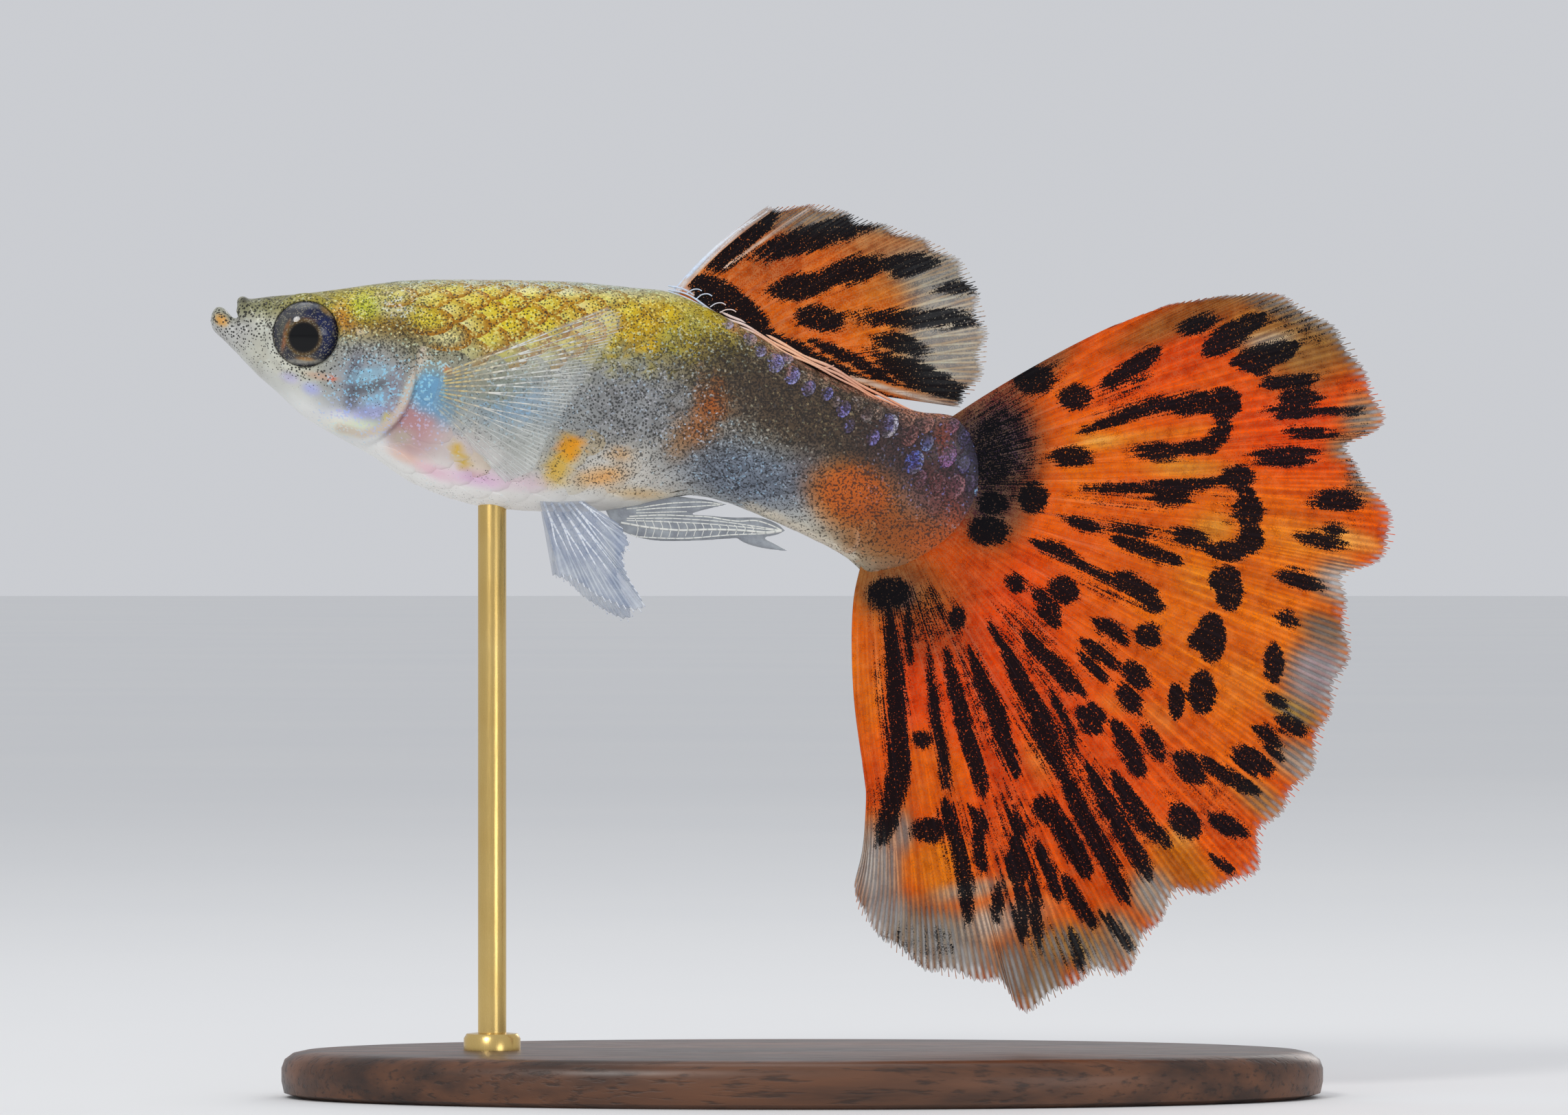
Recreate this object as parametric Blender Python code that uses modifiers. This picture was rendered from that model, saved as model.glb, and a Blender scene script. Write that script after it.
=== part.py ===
"""A male fancy guppy at life size, swimming above a plain oval display stand.

Metres, +Z up. The snout points along -X and the left side of the fish faces -Y. The origin is on
the floor, under the middle of the whole object.

The fish is drawn in millimetres from the tip of its lower lip: "along" runs towards the tail, "up"
is height above that tip, and "side" is distance from the middle plane. place() turns such a point
into a position in metres.
"""

import math

import bmesh
import bpy
from mathutils import Vector

MM = 0.001
GAP = 0.3  # the space that neighbouring pieces keep, in millimetres

# Driving sizes in millimetres
TOTAL_LENGTH = 50.0  # lower lip to the farthest tip of the tail fin
TAIL_DROP = 29.3  # lowest tip of the tail fin below the lower lip
TAIL_CLEARANCE = 1.5  # air between that tip and the top of the base
BASE_THICKNESS = 2.0
BASE_LENGTH = 44.0
BASE_WIDTH = 22.0
BASE_BEVEL = 0.5
BASE_SIDES = 48
ROD_DIAMETER = 1.2
ROD_ALONG = 11.9  # the rod meets the belly here, just ahead of the pelvic fins
ROD_SIDES = 16
SNOUT_HEIGHT = BASE_THICKNESS + TAIL_CLEARANCE + TAIL_DROP

# Ribs of the body from the snout to the tail root: (along, up) on the back, (along, up) on the
# belly, and half the width between them
BODY_RIBS = (
    ((1.10, -0.10), (1.10, -0.10), 0.0),
    ((1.15, 0.60), (1.15, -0.95), 1.15),
    ((1.35, 0.85), (1.40, -1.60), 1.45),
    ((1.95, 0.95), (1.95, -2.25), 1.68),
    ((2.75, 1.05), (2.80, -3.00), 1.92),
    ((3.90, 1.14), (3.95, -4.05), 2.22),
    ((5.35, 1.32), (5.35, -4.90), 2.48),
    ((6.80, 1.52), (6.80, -5.70), 2.62),
    ((8.55, 1.70), (8.55, -6.85), 2.72),
    ((10.85, 1.72), (10.85, -7.70), 2.75),
    ((13.15, 1.70), (13.15, -8.00), 2.65),
    ((15.50, 1.62), (15.35, -8.05), 2.50),
    ((17.50, 1.42), (17.25, -7.95), 2.30),
    ((19.40, 1.20), (18.80, -7.60), 2.10),
    ((21.00, 0.55), (20.15, -7.35), 1.95),
    ((23.05, -0.60), (21.60, -7.60), 1.78),
    ((25.35, -1.95), (23.30, -8.25), 1.60),
    ((27.65, -3.05), (25.20, -9.10), 1.42),
    ((29.70, -3.80), (26.65, -9.85), 1.25),
    ((31.00, -3.95), (27.40, -10.45), 1.08),
    ((31.75, -4.25), (27.80, -10.75), 0.98),
    ((32.35, -5.20), (29.40, -10.45), 0.82),
    ((32.65, -6.25), (31.30, -9.40), 0.66),
    ((32.75, -7.70), (32.75, -7.70), 0.0),
)
BODY_RINGS = 50
BODY_SIDES = 28
WIDEST_LEVEL = 1.12  # above 1 the flanks are widest a little above the middle
HEAD_CROWN = 0.72  # below 1 the top of the head is flat, as a guppy's is
BACK_CROWN = 0.95
HEAD_RIBS = (5, 10)  # the crown changes from head to back between these ribs
BELLY_KEEL = 1.02

# Gill opening, seen from the side: an arc, with a straight slit from its top to the nape
GILL_CENTRE = (5.55, -2.20)
GILL_RADIUS = 3.20
GILL_TOP_DEG = 36.0
NAPE_ALONG = 7.80
GILL_COVER_RISE = 0.22  # the cover stands this far proud of the shoulder behind it
GILL_COVER_START = 4.60

# The tail stem starts at this slanted line through the back and the belly
STEM_BACK = (25.75, -2.15)
STEM_BELLY = (23.60, -8.40)

LOWER_JAW_RIBS = (
    ((0.00, 0.00), (0.00, 0.00), 0.0),
    ((0.10, 0.38), (0.10, -0.34), 0.62),
    ((0.32, 0.60), (0.30, -0.58), 0.92),
    ((0.62, 0.50), (0.55, -0.80), 1.08),
    ((0.90, 0.22), (0.85, -1.10), 1.16),
    ((1.25, -0.10), (1.20, -1.45), 1.24),
    ((1.65, -0.45), (1.62, -1.90), 1.36),
    ((2.05, -0.95), (2.10, -2.30), 1.40),
    ((2.35, -1.70), (2.35, -1.70), 0.0),
)
UPPER_LIP_PATH = ((2.15, 1.45, -0.05), (1.72, 1.22, 0.55), (1.42, 0.75, 0.76), (1.38, 0.0, 0.80))
UPPER_LIP_RADIUS = 0.25

EYE_CENTRE = (4.05, -0.55)
EYE_SIDE = 1.80
EYE_RADIUS = 1.30
EYE_DEPTH = 0.80
ORBIT_RIM = 0.40  # the fleshy rim reaches this far past the eye
ORBIT_DEPTH = 0.74
NOSTRIL_RIB = 3.25
NOSTRIL_TURN_DEG = 48.0
NOSTRIL_RADIUS = 0.22

# Each fin is drawn by the line that its rays start from, inside the body, and the line of their tips
CAUDAL_ROOT = ((31.1, -4.2), (31.9, -5.3), (32.1, -6.6), (31.9, -8.0), (31.2, -9.1), (29.9, -9.7),
               (28.6, -10.0), (27.5, -10.2))
CAUDAL_MARGIN = (
    (38.15, -0.25), (40.45, 0.65), (41.9, 0.95), (43.35, 1.1), (45.05, 1.15), (46.8, 0.25),
    (48.1, -0.85), (48.8, -2.2), (49.6, -3.7), (49.3, -4.6), (48.1, -5.3), (48.6, -6.4),
    (49.3, -7.2), (49.9, -8.4), (49.9, -9.4), (49.2, -10.2), (48.0, -10.8), (47.9, -11.9),
    (48.1, -13.8), (47.5, -15.7), (47.1, -16.9), (46.5, -18.8), (45.6, -20.3), (44.5, -21.5),
    (44.1, -23.3), (42.4, -24.1), (40.9, -24.3), (39.9, -25.6), (38.6, -27.6), (37.2, -27.7),
    (35.2, -28.9), (34.2, -29.1), (33.3, -28.0), (31.1, -27.7), (29.3, -26.9), (28.2, -25.9),
    (27.4, -24.9), (27.2, -23.8),
)
# how far the last ray of the tail fin bends to and fro, at even steps from its root to its tip
CAUDAL_HEM = (0.0, -0.27, -0.34, -0.31, -0.22, -0.05, 0.2, 0.4, 0.4, 0.3, 0.0)
DORSAL_ROOT = ((19.2, 0.75), (21.5, -0.55), (23.6, -1.75), (25.3, -2.75))
DORSAL_MARGIN = (
    (23.4, 4.75), (24.5, 4.80), (25.95, 4.85), (27.4, 4.3), (28.9, 3.9), (30.3, 3.35), (31.4, 2.7),
    (32.1, 1.9), (32.5, 0.7), (32.75, -0.6), (32.45, -1.8), (31.9, -2.8), (31.1, -3.25),
)
PECTORAL_ROOT = ((9.5, -2.35), (9.4, -3.5))
PECTORAL_MARGIN = ((16.9, 0.5), (17.45, -0.2), (16.4, -1.8), (15.3, -3.5), (14.4, -5.0),
                   (13.8, -6.3), (12.6, -6.9))
PELVIC_ROOT = ((13.8, -7.2), (15.3, -7.3))
PELVIC_MARGIN = ((14.8, -10.75), (15.5, -10.95), (16.4, -11.6), (17.9, -12.2), (18.3, -11.95),
                 (17.65, -10.8), (17.45, -9.9), (17.7, -9.4), (17.3, -8.6))
PELVIC_PIVOT = (14.5, -7.6)
FAR_PELVIC_DROOP_DEG = 7.0

MEMBRANE = 0.50  # thickness between the rays
RAY = 0.82  # thickness over a ray
EDGE_SHARE = 0.55  # the margin keeps this share of both
EDGE_START = 0.80  # share of the ray's length where the margin starts to thin
COLUMNS_PER_RAY = 4

# Anal fin, which in a male is a rod of long rays, with a short vane above it and a hood below
ANAL_BLADE_RIBS = (
    ((16.60, -7.30), (16.60, -7.30), 0.0),
    ((17.70, -7.40), (16.60, -7.80), 0.34),
    ((18.30, -7.95), (17.20, -8.75), 0.36),
    ((19.20, -8.20), (18.50, -9.25), 0.35),
    ((20.60, -8.30), (20.30, -9.30), 0.33),
    ((22.00, -8.35), (22.00, -9.20), 0.31),
    ((23.20, -8.40), (23.20, -9.15), 0.28),
    ((23.90, -8.60), (23.90, -9.05), 0.22),
    ((24.30, -8.87), (24.30, -8.87), 0.0),
)
ANAL_VANE_RIBS = (
    ((18.10, -7.30), (18.10, -7.30), 0.0),
    ((18.90, -7.40), (18.50, -8.10), 0.30),
    ((20.20, -7.80), (20.00, -8.35), 0.26),
    ((21.30, -8.00), (21.20, -8.40), 0.20),
    ((22.00, -8.25), (22.00, -8.25), 0.0),
)
ANAL_HOOD_RIBS = (
    ((21.90, -8.90), (21.90, -8.90), 0.0),
    ((22.70, -8.90), (22.50, -9.35), 0.26),
    ((23.50, -9.25), (23.30, -9.60), 0.25),
    ((24.45, -9.75), (24.45, -9.75), 0.0),
)


def place(along, up, side=0.0):
    """A point of the fish's drawing as a position in metres."""
    return Vector((along - TOTAL_LENGTH / 2, side, SNOUT_HEIGHT + up)) * MM


def ease(low, high, value):
    """0 below low, 1 above high, and a smooth rise between."""
    share = min(1.0, max(0.0, (value - low) / (high - low)))
    return share * share * (3 - 2 * share)


def curve_point(points, where):
    """The point at index `where` of a smooth curve through the points (Catmull-Rom)."""
    last = len(points) - 1
    i = min(last - 1, max(0, int(where)))
    s = where - i
    b, c = Vector(points[i]), Vector(points[i + 1])
    a = Vector(points[i - 1]) if i > 0 else 2 * b - c
    d = Vector(points[i + 2]) if i + 2 <= last else 2 * c - b
    return 0.5 * (2 * b + (c - a) * s + (2 * a - 5 * b + 4 * c - d) * s**2 + (3 * b - a - 3 * c + d) * s**3)


def even_curve(points, steps):
    """steps + 1 points, evenly spaced in length, along the smooth curve through the points."""
    fine = [curve_point(points, (len(points) - 1) * k / 400) for k in range(401)]
    reach = [0.0]
    for before, after in zip(fine, fine[1:]):
        reach.append(reach[-1] + (after - before).length)
    found, k = [], 0
    for step in range(steps + 1):
        target = reach[-1] * step / steps
        while k < len(reach) - 2 and reach[k + 1] < target:
            k += 1
        share = (target - reach[k]) / (reach[k + 1] - reach[k])
        found.append(fine[k].lerp(fine[k + 1], min(1.0, max(0.0, share))))
    return found


# Objects and Booleans

def new_object(name, mesh):
    """A mesh object in the fish's collection."""
    obj = bpy.data.objects.new(name, mesh)
    bpy.data.collections["fancy_guppy"].objects.link(obj)
    return obj


def object_from(name, bm):
    """Turns a bmesh into an object and frees the bmesh."""
    mesh = bpy.data.meshes.new(name)
    bm.to_mesh(mesh)
    bm.free()
    return new_object(name, mesh)


def apply_modifiers(obj):
    """Replaces an object's mesh by the mesh that its modifiers make."""
    graph = bpy.context.evaluated_depsgraph_get()
    mesh = bpy.data.meshes.new_from_object(obj.evaluated_get(graph))
    obj.modifiers.clear()
    obj.data = mesh


def keep_largest(obj):
    """Keeps only the largest closed surface of a mesh."""
    bm = bmesh.new()
    bm.from_mesh(obj.data)
    bmesh.ops.remove_doubles(bm, verts=bm.verts, dist=0.002 * MM)
    left, groups = set(bm.verts), []
    while left:
        group, edge = set(), [left.pop()]
        while edge:
            vert = edge.pop()
            group.add(vert)
            for link in vert.link_edges:
                other = link.other_vert(vert)
                if other in left:
                    left.remove(other)
                    edge.append(other)
        groups.append(group)
    biggest = max(groups, key=len)
    bmesh.ops.delete(bm, geom=[v for v in bm.verts if v not in biggest], context="VERTS")
    bm.to_mesh(obj.data)
    bm.free()


def combine(obj, operation, pieces, solver="EXACT"):
    """Joins the pieces to an object, or cuts them from it, and removes them."""
    group = bpy.data.collections.new("operands")
    for piece in pieces:
        group.objects.link(piece)
    boolean = obj.modifiers.new("boolean", "BOOLEAN")
    boolean.operation = operation
    boolean.operand_type = "COLLECTION"
    boolean.collection = group
    boolean.solver = solver
    apply_modifiers(obj)
    for piece in pieces:
        bpy.data.objects.remove(piece)
    bpy.data.collections.remove(group)
    keep_largest(obj)


def finish(obj, colour, roughness, metallic=0.0):
    """Smooth shading and a plain material of its own."""
    obj.data.shade_smooth()
    obj.data.set_sharp_from_angle(angle=math.radians(40))
    material = bpy.data.materials.new(obj.name)
    material.use_nodes = True
    shader = material.node_tree.nodes["Principled BSDF"]
    shader.inputs["Base Color"].default_value = (*colour, 1.0)
    shader.inputs["Roughness"].default_value = roughness
    shader.inputs["Metallic"].default_value = metallic
    obj.data.materials.clear()
    obj.data.materials.append(material)
    return obj


# Solid shapes

def ribbed_form(name, ribs, rings, sides, crown=lambda where: 1.0, keel=1.0, bulge=None):
    """A closed form through ribs: a sphere whose rings are moved onto the ribs' curve.

    bulge(along, up) is an extra width, in millimetres, on both flanks.
    """
    backs = [rib[0] for rib in ribs]
    bellies = [rib[1] for rib in ribs]
    widths = [(rib[2], 0.0) for rib in ribs]
    bm = bmesh.new()
    bmesh.ops.create_uvsphere(bm, u_segments=sides, v_segments=rings, radius=1.0)
    for vert in bm.verts:
        where = math.acos(max(-1.0, min(1.0, vert.co.z))) / math.pi * (len(ribs) - 1)
        turn = math.atan2(vert.co.y, vert.co.x)
        rise, out = math.cos(turn), abs(math.sin(turn))
        level = ((1 - rise) / 2) ** WIDEST_LEVEL
        spot = curve_point(backs, where).lerp(curve_point(bellies, where), level)
        width = max(0.0, curve_point(widths, where).x)
        side = width * out ** (crown(where) if rise > 0 else keel)
        if bulge:
            side += bulge(spot.x, spot.y) * out
        vert.co = place(spot.x, spot.y, math.copysign(side, vert.co.y))
    bmesh.ops.remove_doubles(bm, verts=bm.verts, dist=0.001 * MM)
    bm.normal_update()
    return object_from(name, bm)


def ball(name, centre, radii, sides=22):
    """An ellipsoid at (along, up, side) with radii (along, side, up)."""
    bm = bmesh.new()
    bmesh.ops.create_uvsphere(bm, u_segments=sides, v_segments=sides // 2, radius=1.0)
    for vert in bm.verts:
        # its poles point sideways, so that its rings run round the eye
        offset = Vector((vert.co.x * radii[0], vert.co.z * radii[1], -vert.co.y * radii[2]))
        vert.co = place(*centre) + offset * MM
    return object_from(name, bm)


def swept_tube(name, path, radius):
    """A round bar along (along, side, up) points, as a mesh."""
    curve = bpy.data.curves.new(name, "CURVE")
    curve.dimensions = "3D"
    curve.bevel_depth = radius * MM
    curve.bevel_resolution = 2
    curve.use_fill_caps = True
    spline = curve.splines.new("POLY")
    spline.points.add(len(path) - 1)
    for point, (along, side, up) in zip(spline.points, path):
        point.co = (*place(along, up, side), 1.0)
    guide = new_object(name, curve)
    graph = bpy.context.evaluated_depsgraph_get()
    mesh = bpy.data.meshes.new_from_object(guide.evaluated_get(graph))
    bpy.data.objects.remove(guide)
    bm = bmesh.new()
    bm.from_mesh(mesh)
    bmesh.ops.remove_doubles(bm, verts=bm.verts, dist=0.001 * MM)
    bmesh.ops.recalc_face_normals(bm, faces=bm.faces)
    return object_from(name, bm)


def slab(name, outline, half_thickness):
    """A flat plate in the fish's middle plane, from (along, up) corners."""
    bm = bmesh.new()
    corners = [bm.verts.new(place(along, up, -half_thickness)) for along, up in outline]
    face = bm.faces.new(corners)
    moved = bmesh.ops.extrude_face_region(bm, geom=[face])["geom"]
    top = [v for v in moved if isinstance(v, bmesh.types.BMVert)]
    bmesh.ops.translate(bm, verts=top, vec=(0, 2 * half_thickness * MM, 0))
    bmesh.ops.recalc_face_normals(bm, faces=bm.faces)
    return object_from(name, bm)


# The body and what is cut from it

def crown_at(where):
    """The head is flat on top and the back is round."""
    return HEAD_CROWN + (BACK_CROWN - HEAD_CROWN) * ease(HEAD_RIBS[0], HEAD_RIBS[1], where)


def gill_cover_rise(along, up):
    """How far the gill cover swells, from nothing at the cheek to its full rise at its free edge."""
    reach = math.hypot(along - GILL_CENTRE[0], up - GILL_CENTRE[1])
    upper = 1.0 - ease(-0.6, 0.6, up)
    return GILL_COVER_RISE * ease(GILL_COVER_START, GILL_COVER_START + 2.6, along) * upper * (
        1.0 - ease(GILL_RADIUS + 0.3, GILL_RADIUS + 0.9, reach)
    )


def body(name, bulge=None):
    """The whole body without eyes, fins and lower jaw."""
    return ribbed_form(name, BODY_RIBS, BODY_RINGS, BODY_SIDES, crown_at, BELLY_KEEL, bulge)


def grown(obj, distance):
    """Moves every point of a mesh out along its normal, by millimetres."""
    bm = bmesh.new()
    bm.from_mesh(obj.data)
    bm.normal_update()
    moves = [(vert, vert.normal * distance * MM) for vert in bm.verts]
    for vert, move in moves:
        vert.co += move
    bm.to_mesh(obj.data)
    bm.free()
    return obj


def grown_body():
    """The body with the gap round it, which shapes the root of every fin."""
    return grown(body("grown_body", gill_cover_rise), GAP)


def body_spot(where, turn_deg, side):
    """A point on the body at a rib index and a turn from the back, on side -1 or 1."""
    turn = math.radians(turn_deg)
    back = curve_point([rib[0] for rib in BODY_RIBS], where)
    belly = curve_point([rib[1] for rib in BODY_RIBS], where)
    width = curve_point([(rib[2], 0.0) for rib in BODY_RIBS], where).x
    spot = back.lerp(belly, ((1 - math.cos(turn)) / 2) ** WIDEST_LEVEL)
    return spot.x, spot.y, side * width * math.sin(turn) ** crown_at(where)


def jaw_form(name):
    """The lower jaw, from its lip to the corners of the mouth."""
    return ribbed_form(name, LOWER_JAW_RIBS, 18, 16, keel=0.9)


def head_region(name, extra):
    """A plate over the head, out to the gill opening. extra widens it by the gap."""
    radius = GILL_RADIUS + extra
    arc_steps = 14
    far = 12.0
    outline = [(-far, far), (NAPE_ALONG - 0.35 + extra, far)]
    for step in range(arc_steps + 1):
        turn = math.radians(GILL_TOP_DEG + (-90 - GILL_TOP_DEG) * step / arc_steps)
        outline.append((GILL_CENTRE[0] + radius * math.cos(turn), GILL_CENTRE[1] + radius * math.sin(turn)))
    outline += [(GILL_CENTRE[0], -far), (-far, -far)]
    return slab(name, outline, 6.0)


def stem_region(name, extra):
    """A plate over the tail stem, from its slanted front line back. extra widens it by the gap."""
    (back_along, back_up), (belly_along, belly_up) = STEM_BACK, STEM_BELLY
    slope = (back_along - belly_along) / (back_up - belly_up)
    reach = 8.0
    top = (back_along + slope * reach - extra, back_up + reach)
    bottom = (belly_along - slope * reach - extra, belly_up - reach)
    return slab(name, [top, (60.0, back_up + reach), (60.0, belly_up - reach), bottom], 6.0)


def make_head():
    """Cranium, cheeks and gill covers, with the upper lip, orbit rims, eye sockets and nostrils."""
    head = body("head", gill_cover_rise)
    lip = [(along, -side, up) for along, side, up in UPPER_LIP_PATH]
    lip += [(along, side, up) for along, side, up in reversed(UPPER_LIP_PATH[:-1])]
    rim = (EYE_RADIUS + ORBIT_RIM, ORBIT_DEPTH, EYE_RADIUS + ORBIT_RIM)
    pieces = [swept_tube("upper_lip", lip, UPPER_LIP_RADIUS)]
    pieces += [ball("orbit", (*EYE_CENTRE, side * (EYE_SIDE - 0.08)), rim) for side in (-1, 1)]
    combine(head, "UNION", pieces)
    socket = [EYE_RADIUS + GAP * 0.85, EYE_DEPTH + GAP, EYE_RADIUS + GAP * 0.85]
    cutters = [ball("socket", (*EYE_CENTRE, side * EYE_SIDE), socket) for side in (-1, 1)]
    for side in (-1, 1):
        spot = body_spot(NOSTRIL_RIB, NOSTRIL_TURN_DEG, side)
        cutters.append(ball("nostril", spot, [NOSTRIL_RADIUS] * 3, 10))
    cutters.append(grown(jaw_form("jaw_pocket"), GAP))
    combine(head, "DIFFERENCE", cutters)
    combine(head, "INTERSECT", [head_region("head_region", 0.0)])
    return finish(head, (0.55, 0.52, 0.33), 0.4)


def make_lower_jaw():
    """The upturned lower jaw with its thick lip."""
    return finish(jaw_form("lower_jaw"), (0.72, 0.72, 0.64), 0.4)


def make_torso():
    """The trunk, from the gill opening to the end of the dorsal fin's base."""
    torso = body("torso")
    combine(torso, "DIFFERENCE", [head_region("head_region", GAP), stem_region("stem_region", GAP)])
    return finish(torso, (0.66, 0.62, 0.35), 0.35)


def make_tail_stem():
    """The tail stem, down to the rounded end that carries the tail fin."""
    stem = body("tail_stem")
    combine(stem, "INTERSECT", [stem_region("stem_region", 0.0)])
    return finish(stem, (0.42, 0.24, 0.16), 0.4)


def make_eye(side, name):
    """One eyeball, flattened as a fish's is."""
    eye = ball(name, (*EYE_CENTRE, side * EYE_SIDE), [EYE_RADIUS, EYE_DEPTH, EYE_RADIUS])
    return finish(eye, (0.03, 0.04, 0.10), 0.1)


# Fins

def fin_sheet(name, root, margin, rays, rows, sway, tooth=0.0, bend=lambda u, v: 0.0):
    """A fin as a thin shell whose surface is ridged along its rays.

    With u from the leading edge to the trailing edge and v from root to margin, sway(u, v) is the
    side of the sheet and bend(u, v) is how far a ray leaves the straight line, both in millimetres.
    tooth is how far a ray's tip stands past the membrane.
    """
    columns = rays * COLUMNS_PER_RAY
    starts, ends = even_curve(root, columns), even_curve(margin, columns)
    bm = bmesh.new()
    bmesh.ops.create_grid(bm, x_segments=columns, y_segments=rows, size=0.5)
    thickness = {}
    for vert in bm.verts:
        u, v = vert.co.x + 0.5, vert.co.y + 0.5
        column = round(u * columns)
        start, end = starts[column], ends[column]
        ridge = (0.5 + 0.5 * math.cos(2 * math.pi * column / COLUMNS_PER_RAY)) ** 1.5
        ray = end - start
        spot = start + ray * v * (1 + tooth * (ridge - 0.5) * v**3 / ray.length)
        spot += Vector((-ray.y, ray.x)).normalized() * bend(u, v)
        vert.co = place(spot.x, spot.y, sway(u, v))
        edge = 1 - (1 - EDGE_SHARE) * ease(EDGE_START, 1.0, v)
        thickness[vert.index] = (MEMBRANE + (RAY - MEMBRANE) * ridge * (1 - 0.35 * v)) * edge / RAY
    bmesh.ops.triangulate(bm, faces=bm.faces, quad_method="FIXED")
    fin = object_from(name, bm)
    weights = fin.vertex_groups.new(name="thickness")
    for index, share in thickness.items():
        weights.add([index], share, "REPLACE")
    shell = fin.modifiers.new("shell", "SOLIDIFY")
    shell.thickness = RAY * MM
    shell.offset = 0.0
    shell.vertex_group = "thickness"
    apply_modifiers(fin)
    fin.vertex_groups.clear()
    return fin


def make_caudal_fin():
    """The tail fin, a wide fan in soft folds that deepen towards its margin."""
    def sway(u, v):
        broad = 1.0 * math.sin(2 * math.pi * (1.25 * u + 0.1))
        folds = 0.32 * math.sin(2 * math.pi * 5.5 * u) * ease(0.3, 0.7, u)
        return (broad + folds) * v**1.6

    def bend(u, v):
        hem = curve_point([(offset, 0.0) for offset in CAUDAL_HEM], v * (len(CAUDAL_HEM) - 1)).x
        return 0.7 * v * (1 - v) * (1 - u) + hem * ease(0.86, 1.0, u)

    fin = fin_sheet("caudal_fin", CAUDAL_ROOT, CAUDAL_MARGIN, 24, 10, sway, 0.5, bend)
    combine(fin, "DIFFERENCE", [grown_body()])
    return finish(fin, (0.85, 0.25, 0.04), 0.5)


def make_dorsal_fin():
    """The dorsal fin, swept back over the tail stem, its rear tips leaning to the right side."""
    def sway(u, v):
        return (0.9 * u * u + 0.15 * math.sin(2 * math.pi * 2 * u)) * v * v

    def bend(u, v):
        return 1.0 * v * (1 - v) * (1 - u)

    fin = fin_sheet("dorsal_fin", DORSAL_ROOT, DORSAL_MARGIN, 9, 9, sway, 0.3, bend)
    combine(fin, "DIFFERENCE", [grown_body()])
    return finish(fin, (0.75, 0.33, 0.08), 0.5)


def make_pectoral_fin(side, name):
    """One pectoral fin, held out from the flank and cupped backwards."""
    def sway(u, v):
        return side * (2.4 + 2.8 * (1 - (1 - v) ** 2) * (1 - 0.25 * u))

    fin = fin_sheet(name, PECTORAL_ROOT, PECTORAL_MARGIN, 7, 7, sway, tooth=0.15)
    combine(fin, "DIFFERENCE", [grown_body()])
    return finish(fin, (0.62, 0.66, 0.62), 0.45)


def turned(points, pivot, degrees):
    """(along, up) points turned about a pivot, positive swinging the tips down."""
    c, s = math.cos(math.radians(-degrees)), math.sin(math.radians(-degrees))
    moved = []
    for along, up in points:
        x, z = along - pivot[0], up - pivot[1]
        moved.append((pivot[0] + c * x - s * z, pivot[1] + s * x + c * z))
    return moved


def make_pelvic_fin(side, name, droop):
    """One pelvic fin, with the long second ray of a male."""
    def sway(u, v):
        return side * (0.75 + 1.25 * v * (1 - 0.3 * u))

    margin = turned(PELVIC_MARGIN, PELVIC_PIVOT, droop)
    fin = fin_sheet(name, PELVIC_ROOT, margin, 6, 6, sway, tooth=0.1)
    combine(fin, "DIFFERENCE", [grown_body()])
    return finish(fin, (0.35, 0.45, 0.65), 0.45)


def make_anal_fin():
    """The male's rod-shaped anal fin, with its short upper vane and its hood."""
    fin = ribbed_form("anal_fin", ANAL_BLADE_RIBS, 20, 12)
    vane = ribbed_form("vane", ANAL_VANE_RIBS, 10, 10)
    hood = ribbed_form("hood", ANAL_HOOD_RIBS, 8, 10)
    combine(fin, "UNION", [vane, hood])
    combine(fin, "DIFFERENCE", [grown_body()])
    return finish(fin, (0.45, 0.46, 0.45), 0.45)


# The display stand

def make_stand_base():
    """A flat oval base with an eased top edge."""
    bm = bmesh.new()
    bmesh.ops.create_cone(bm, cap_ends=True, segments=BASE_SIDES, radius1=0.5, radius2=0.5, depth=1.0)
    for vert in bm.verts:
        size = Vector((BASE_LENGTH, BASE_WIDTH, BASE_THICKNESS)) * MM
        vert.co = Vector((vert.co.x * size.x, vert.co.y * size.y, (vert.co.z + 0.5) * size.z))
    base = object_from("stand_base", bm)
    bevel = base.modifiers.new("eased edge", "BEVEL")
    bevel.width = BASE_BEVEL * MM
    bevel.segments = 2
    bevel.limit_method = "ANGLE"
    return finish(base, (0.10, 0.055, 0.03), 0.35)


def make_stand_rod():
    """A thin rod from the base up to the belly, its top cut to the belly's curve."""
    foot, top = BASE_THICKNESS + GAP, SNOUT_HEIGHT - 4.0
    bm = bmesh.new()
    bmesh.ops.create_cone(
        bm, cap_ends=True, segments=ROD_SIDES, radius1=ROD_DIAMETER / 2 * MM,
        radius2=ROD_DIAMETER / 2 * MM, depth=(top - foot) * MM,
    )
    centre = place(ROD_ALONG, 0.0)
    centre.z = (foot + top) / 2 * MM
    bmesh.ops.translate(bm, verts=bm.verts, vec=centre)
    rod = object_from("stand_rod", bm)
    combine(rod, "DIFFERENCE", [grown_body()])
    return finish(rod, (0.72, 0.58, 0.32), 0.25, 1.0)


def main():
    for obj in list(bpy.data.objects):
        bpy.data.objects.remove(obj)
    collection = bpy.data.collections.new("fancy_guppy")
    bpy.context.scene.collection.children.link(collection)
    make_head()
    make_lower_jaw()
    make_torso()
    make_tail_stem()
    make_dorsal_fin()
    make_caudal_fin()
    make_anal_fin()
    for side, hand in ((-1, "left"), (1, "right")):
        make_eye(side, "eye_" + hand)
        make_pectoral_fin(side, "pectoral_fin_" + hand)
        make_pelvic_fin(side, "pelvic_fin_" + hand, FAR_PELVIC_DROOP_DEG if side > 0 else 0.0)
    make_stand_base()
    make_stand_rod()


main()
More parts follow.
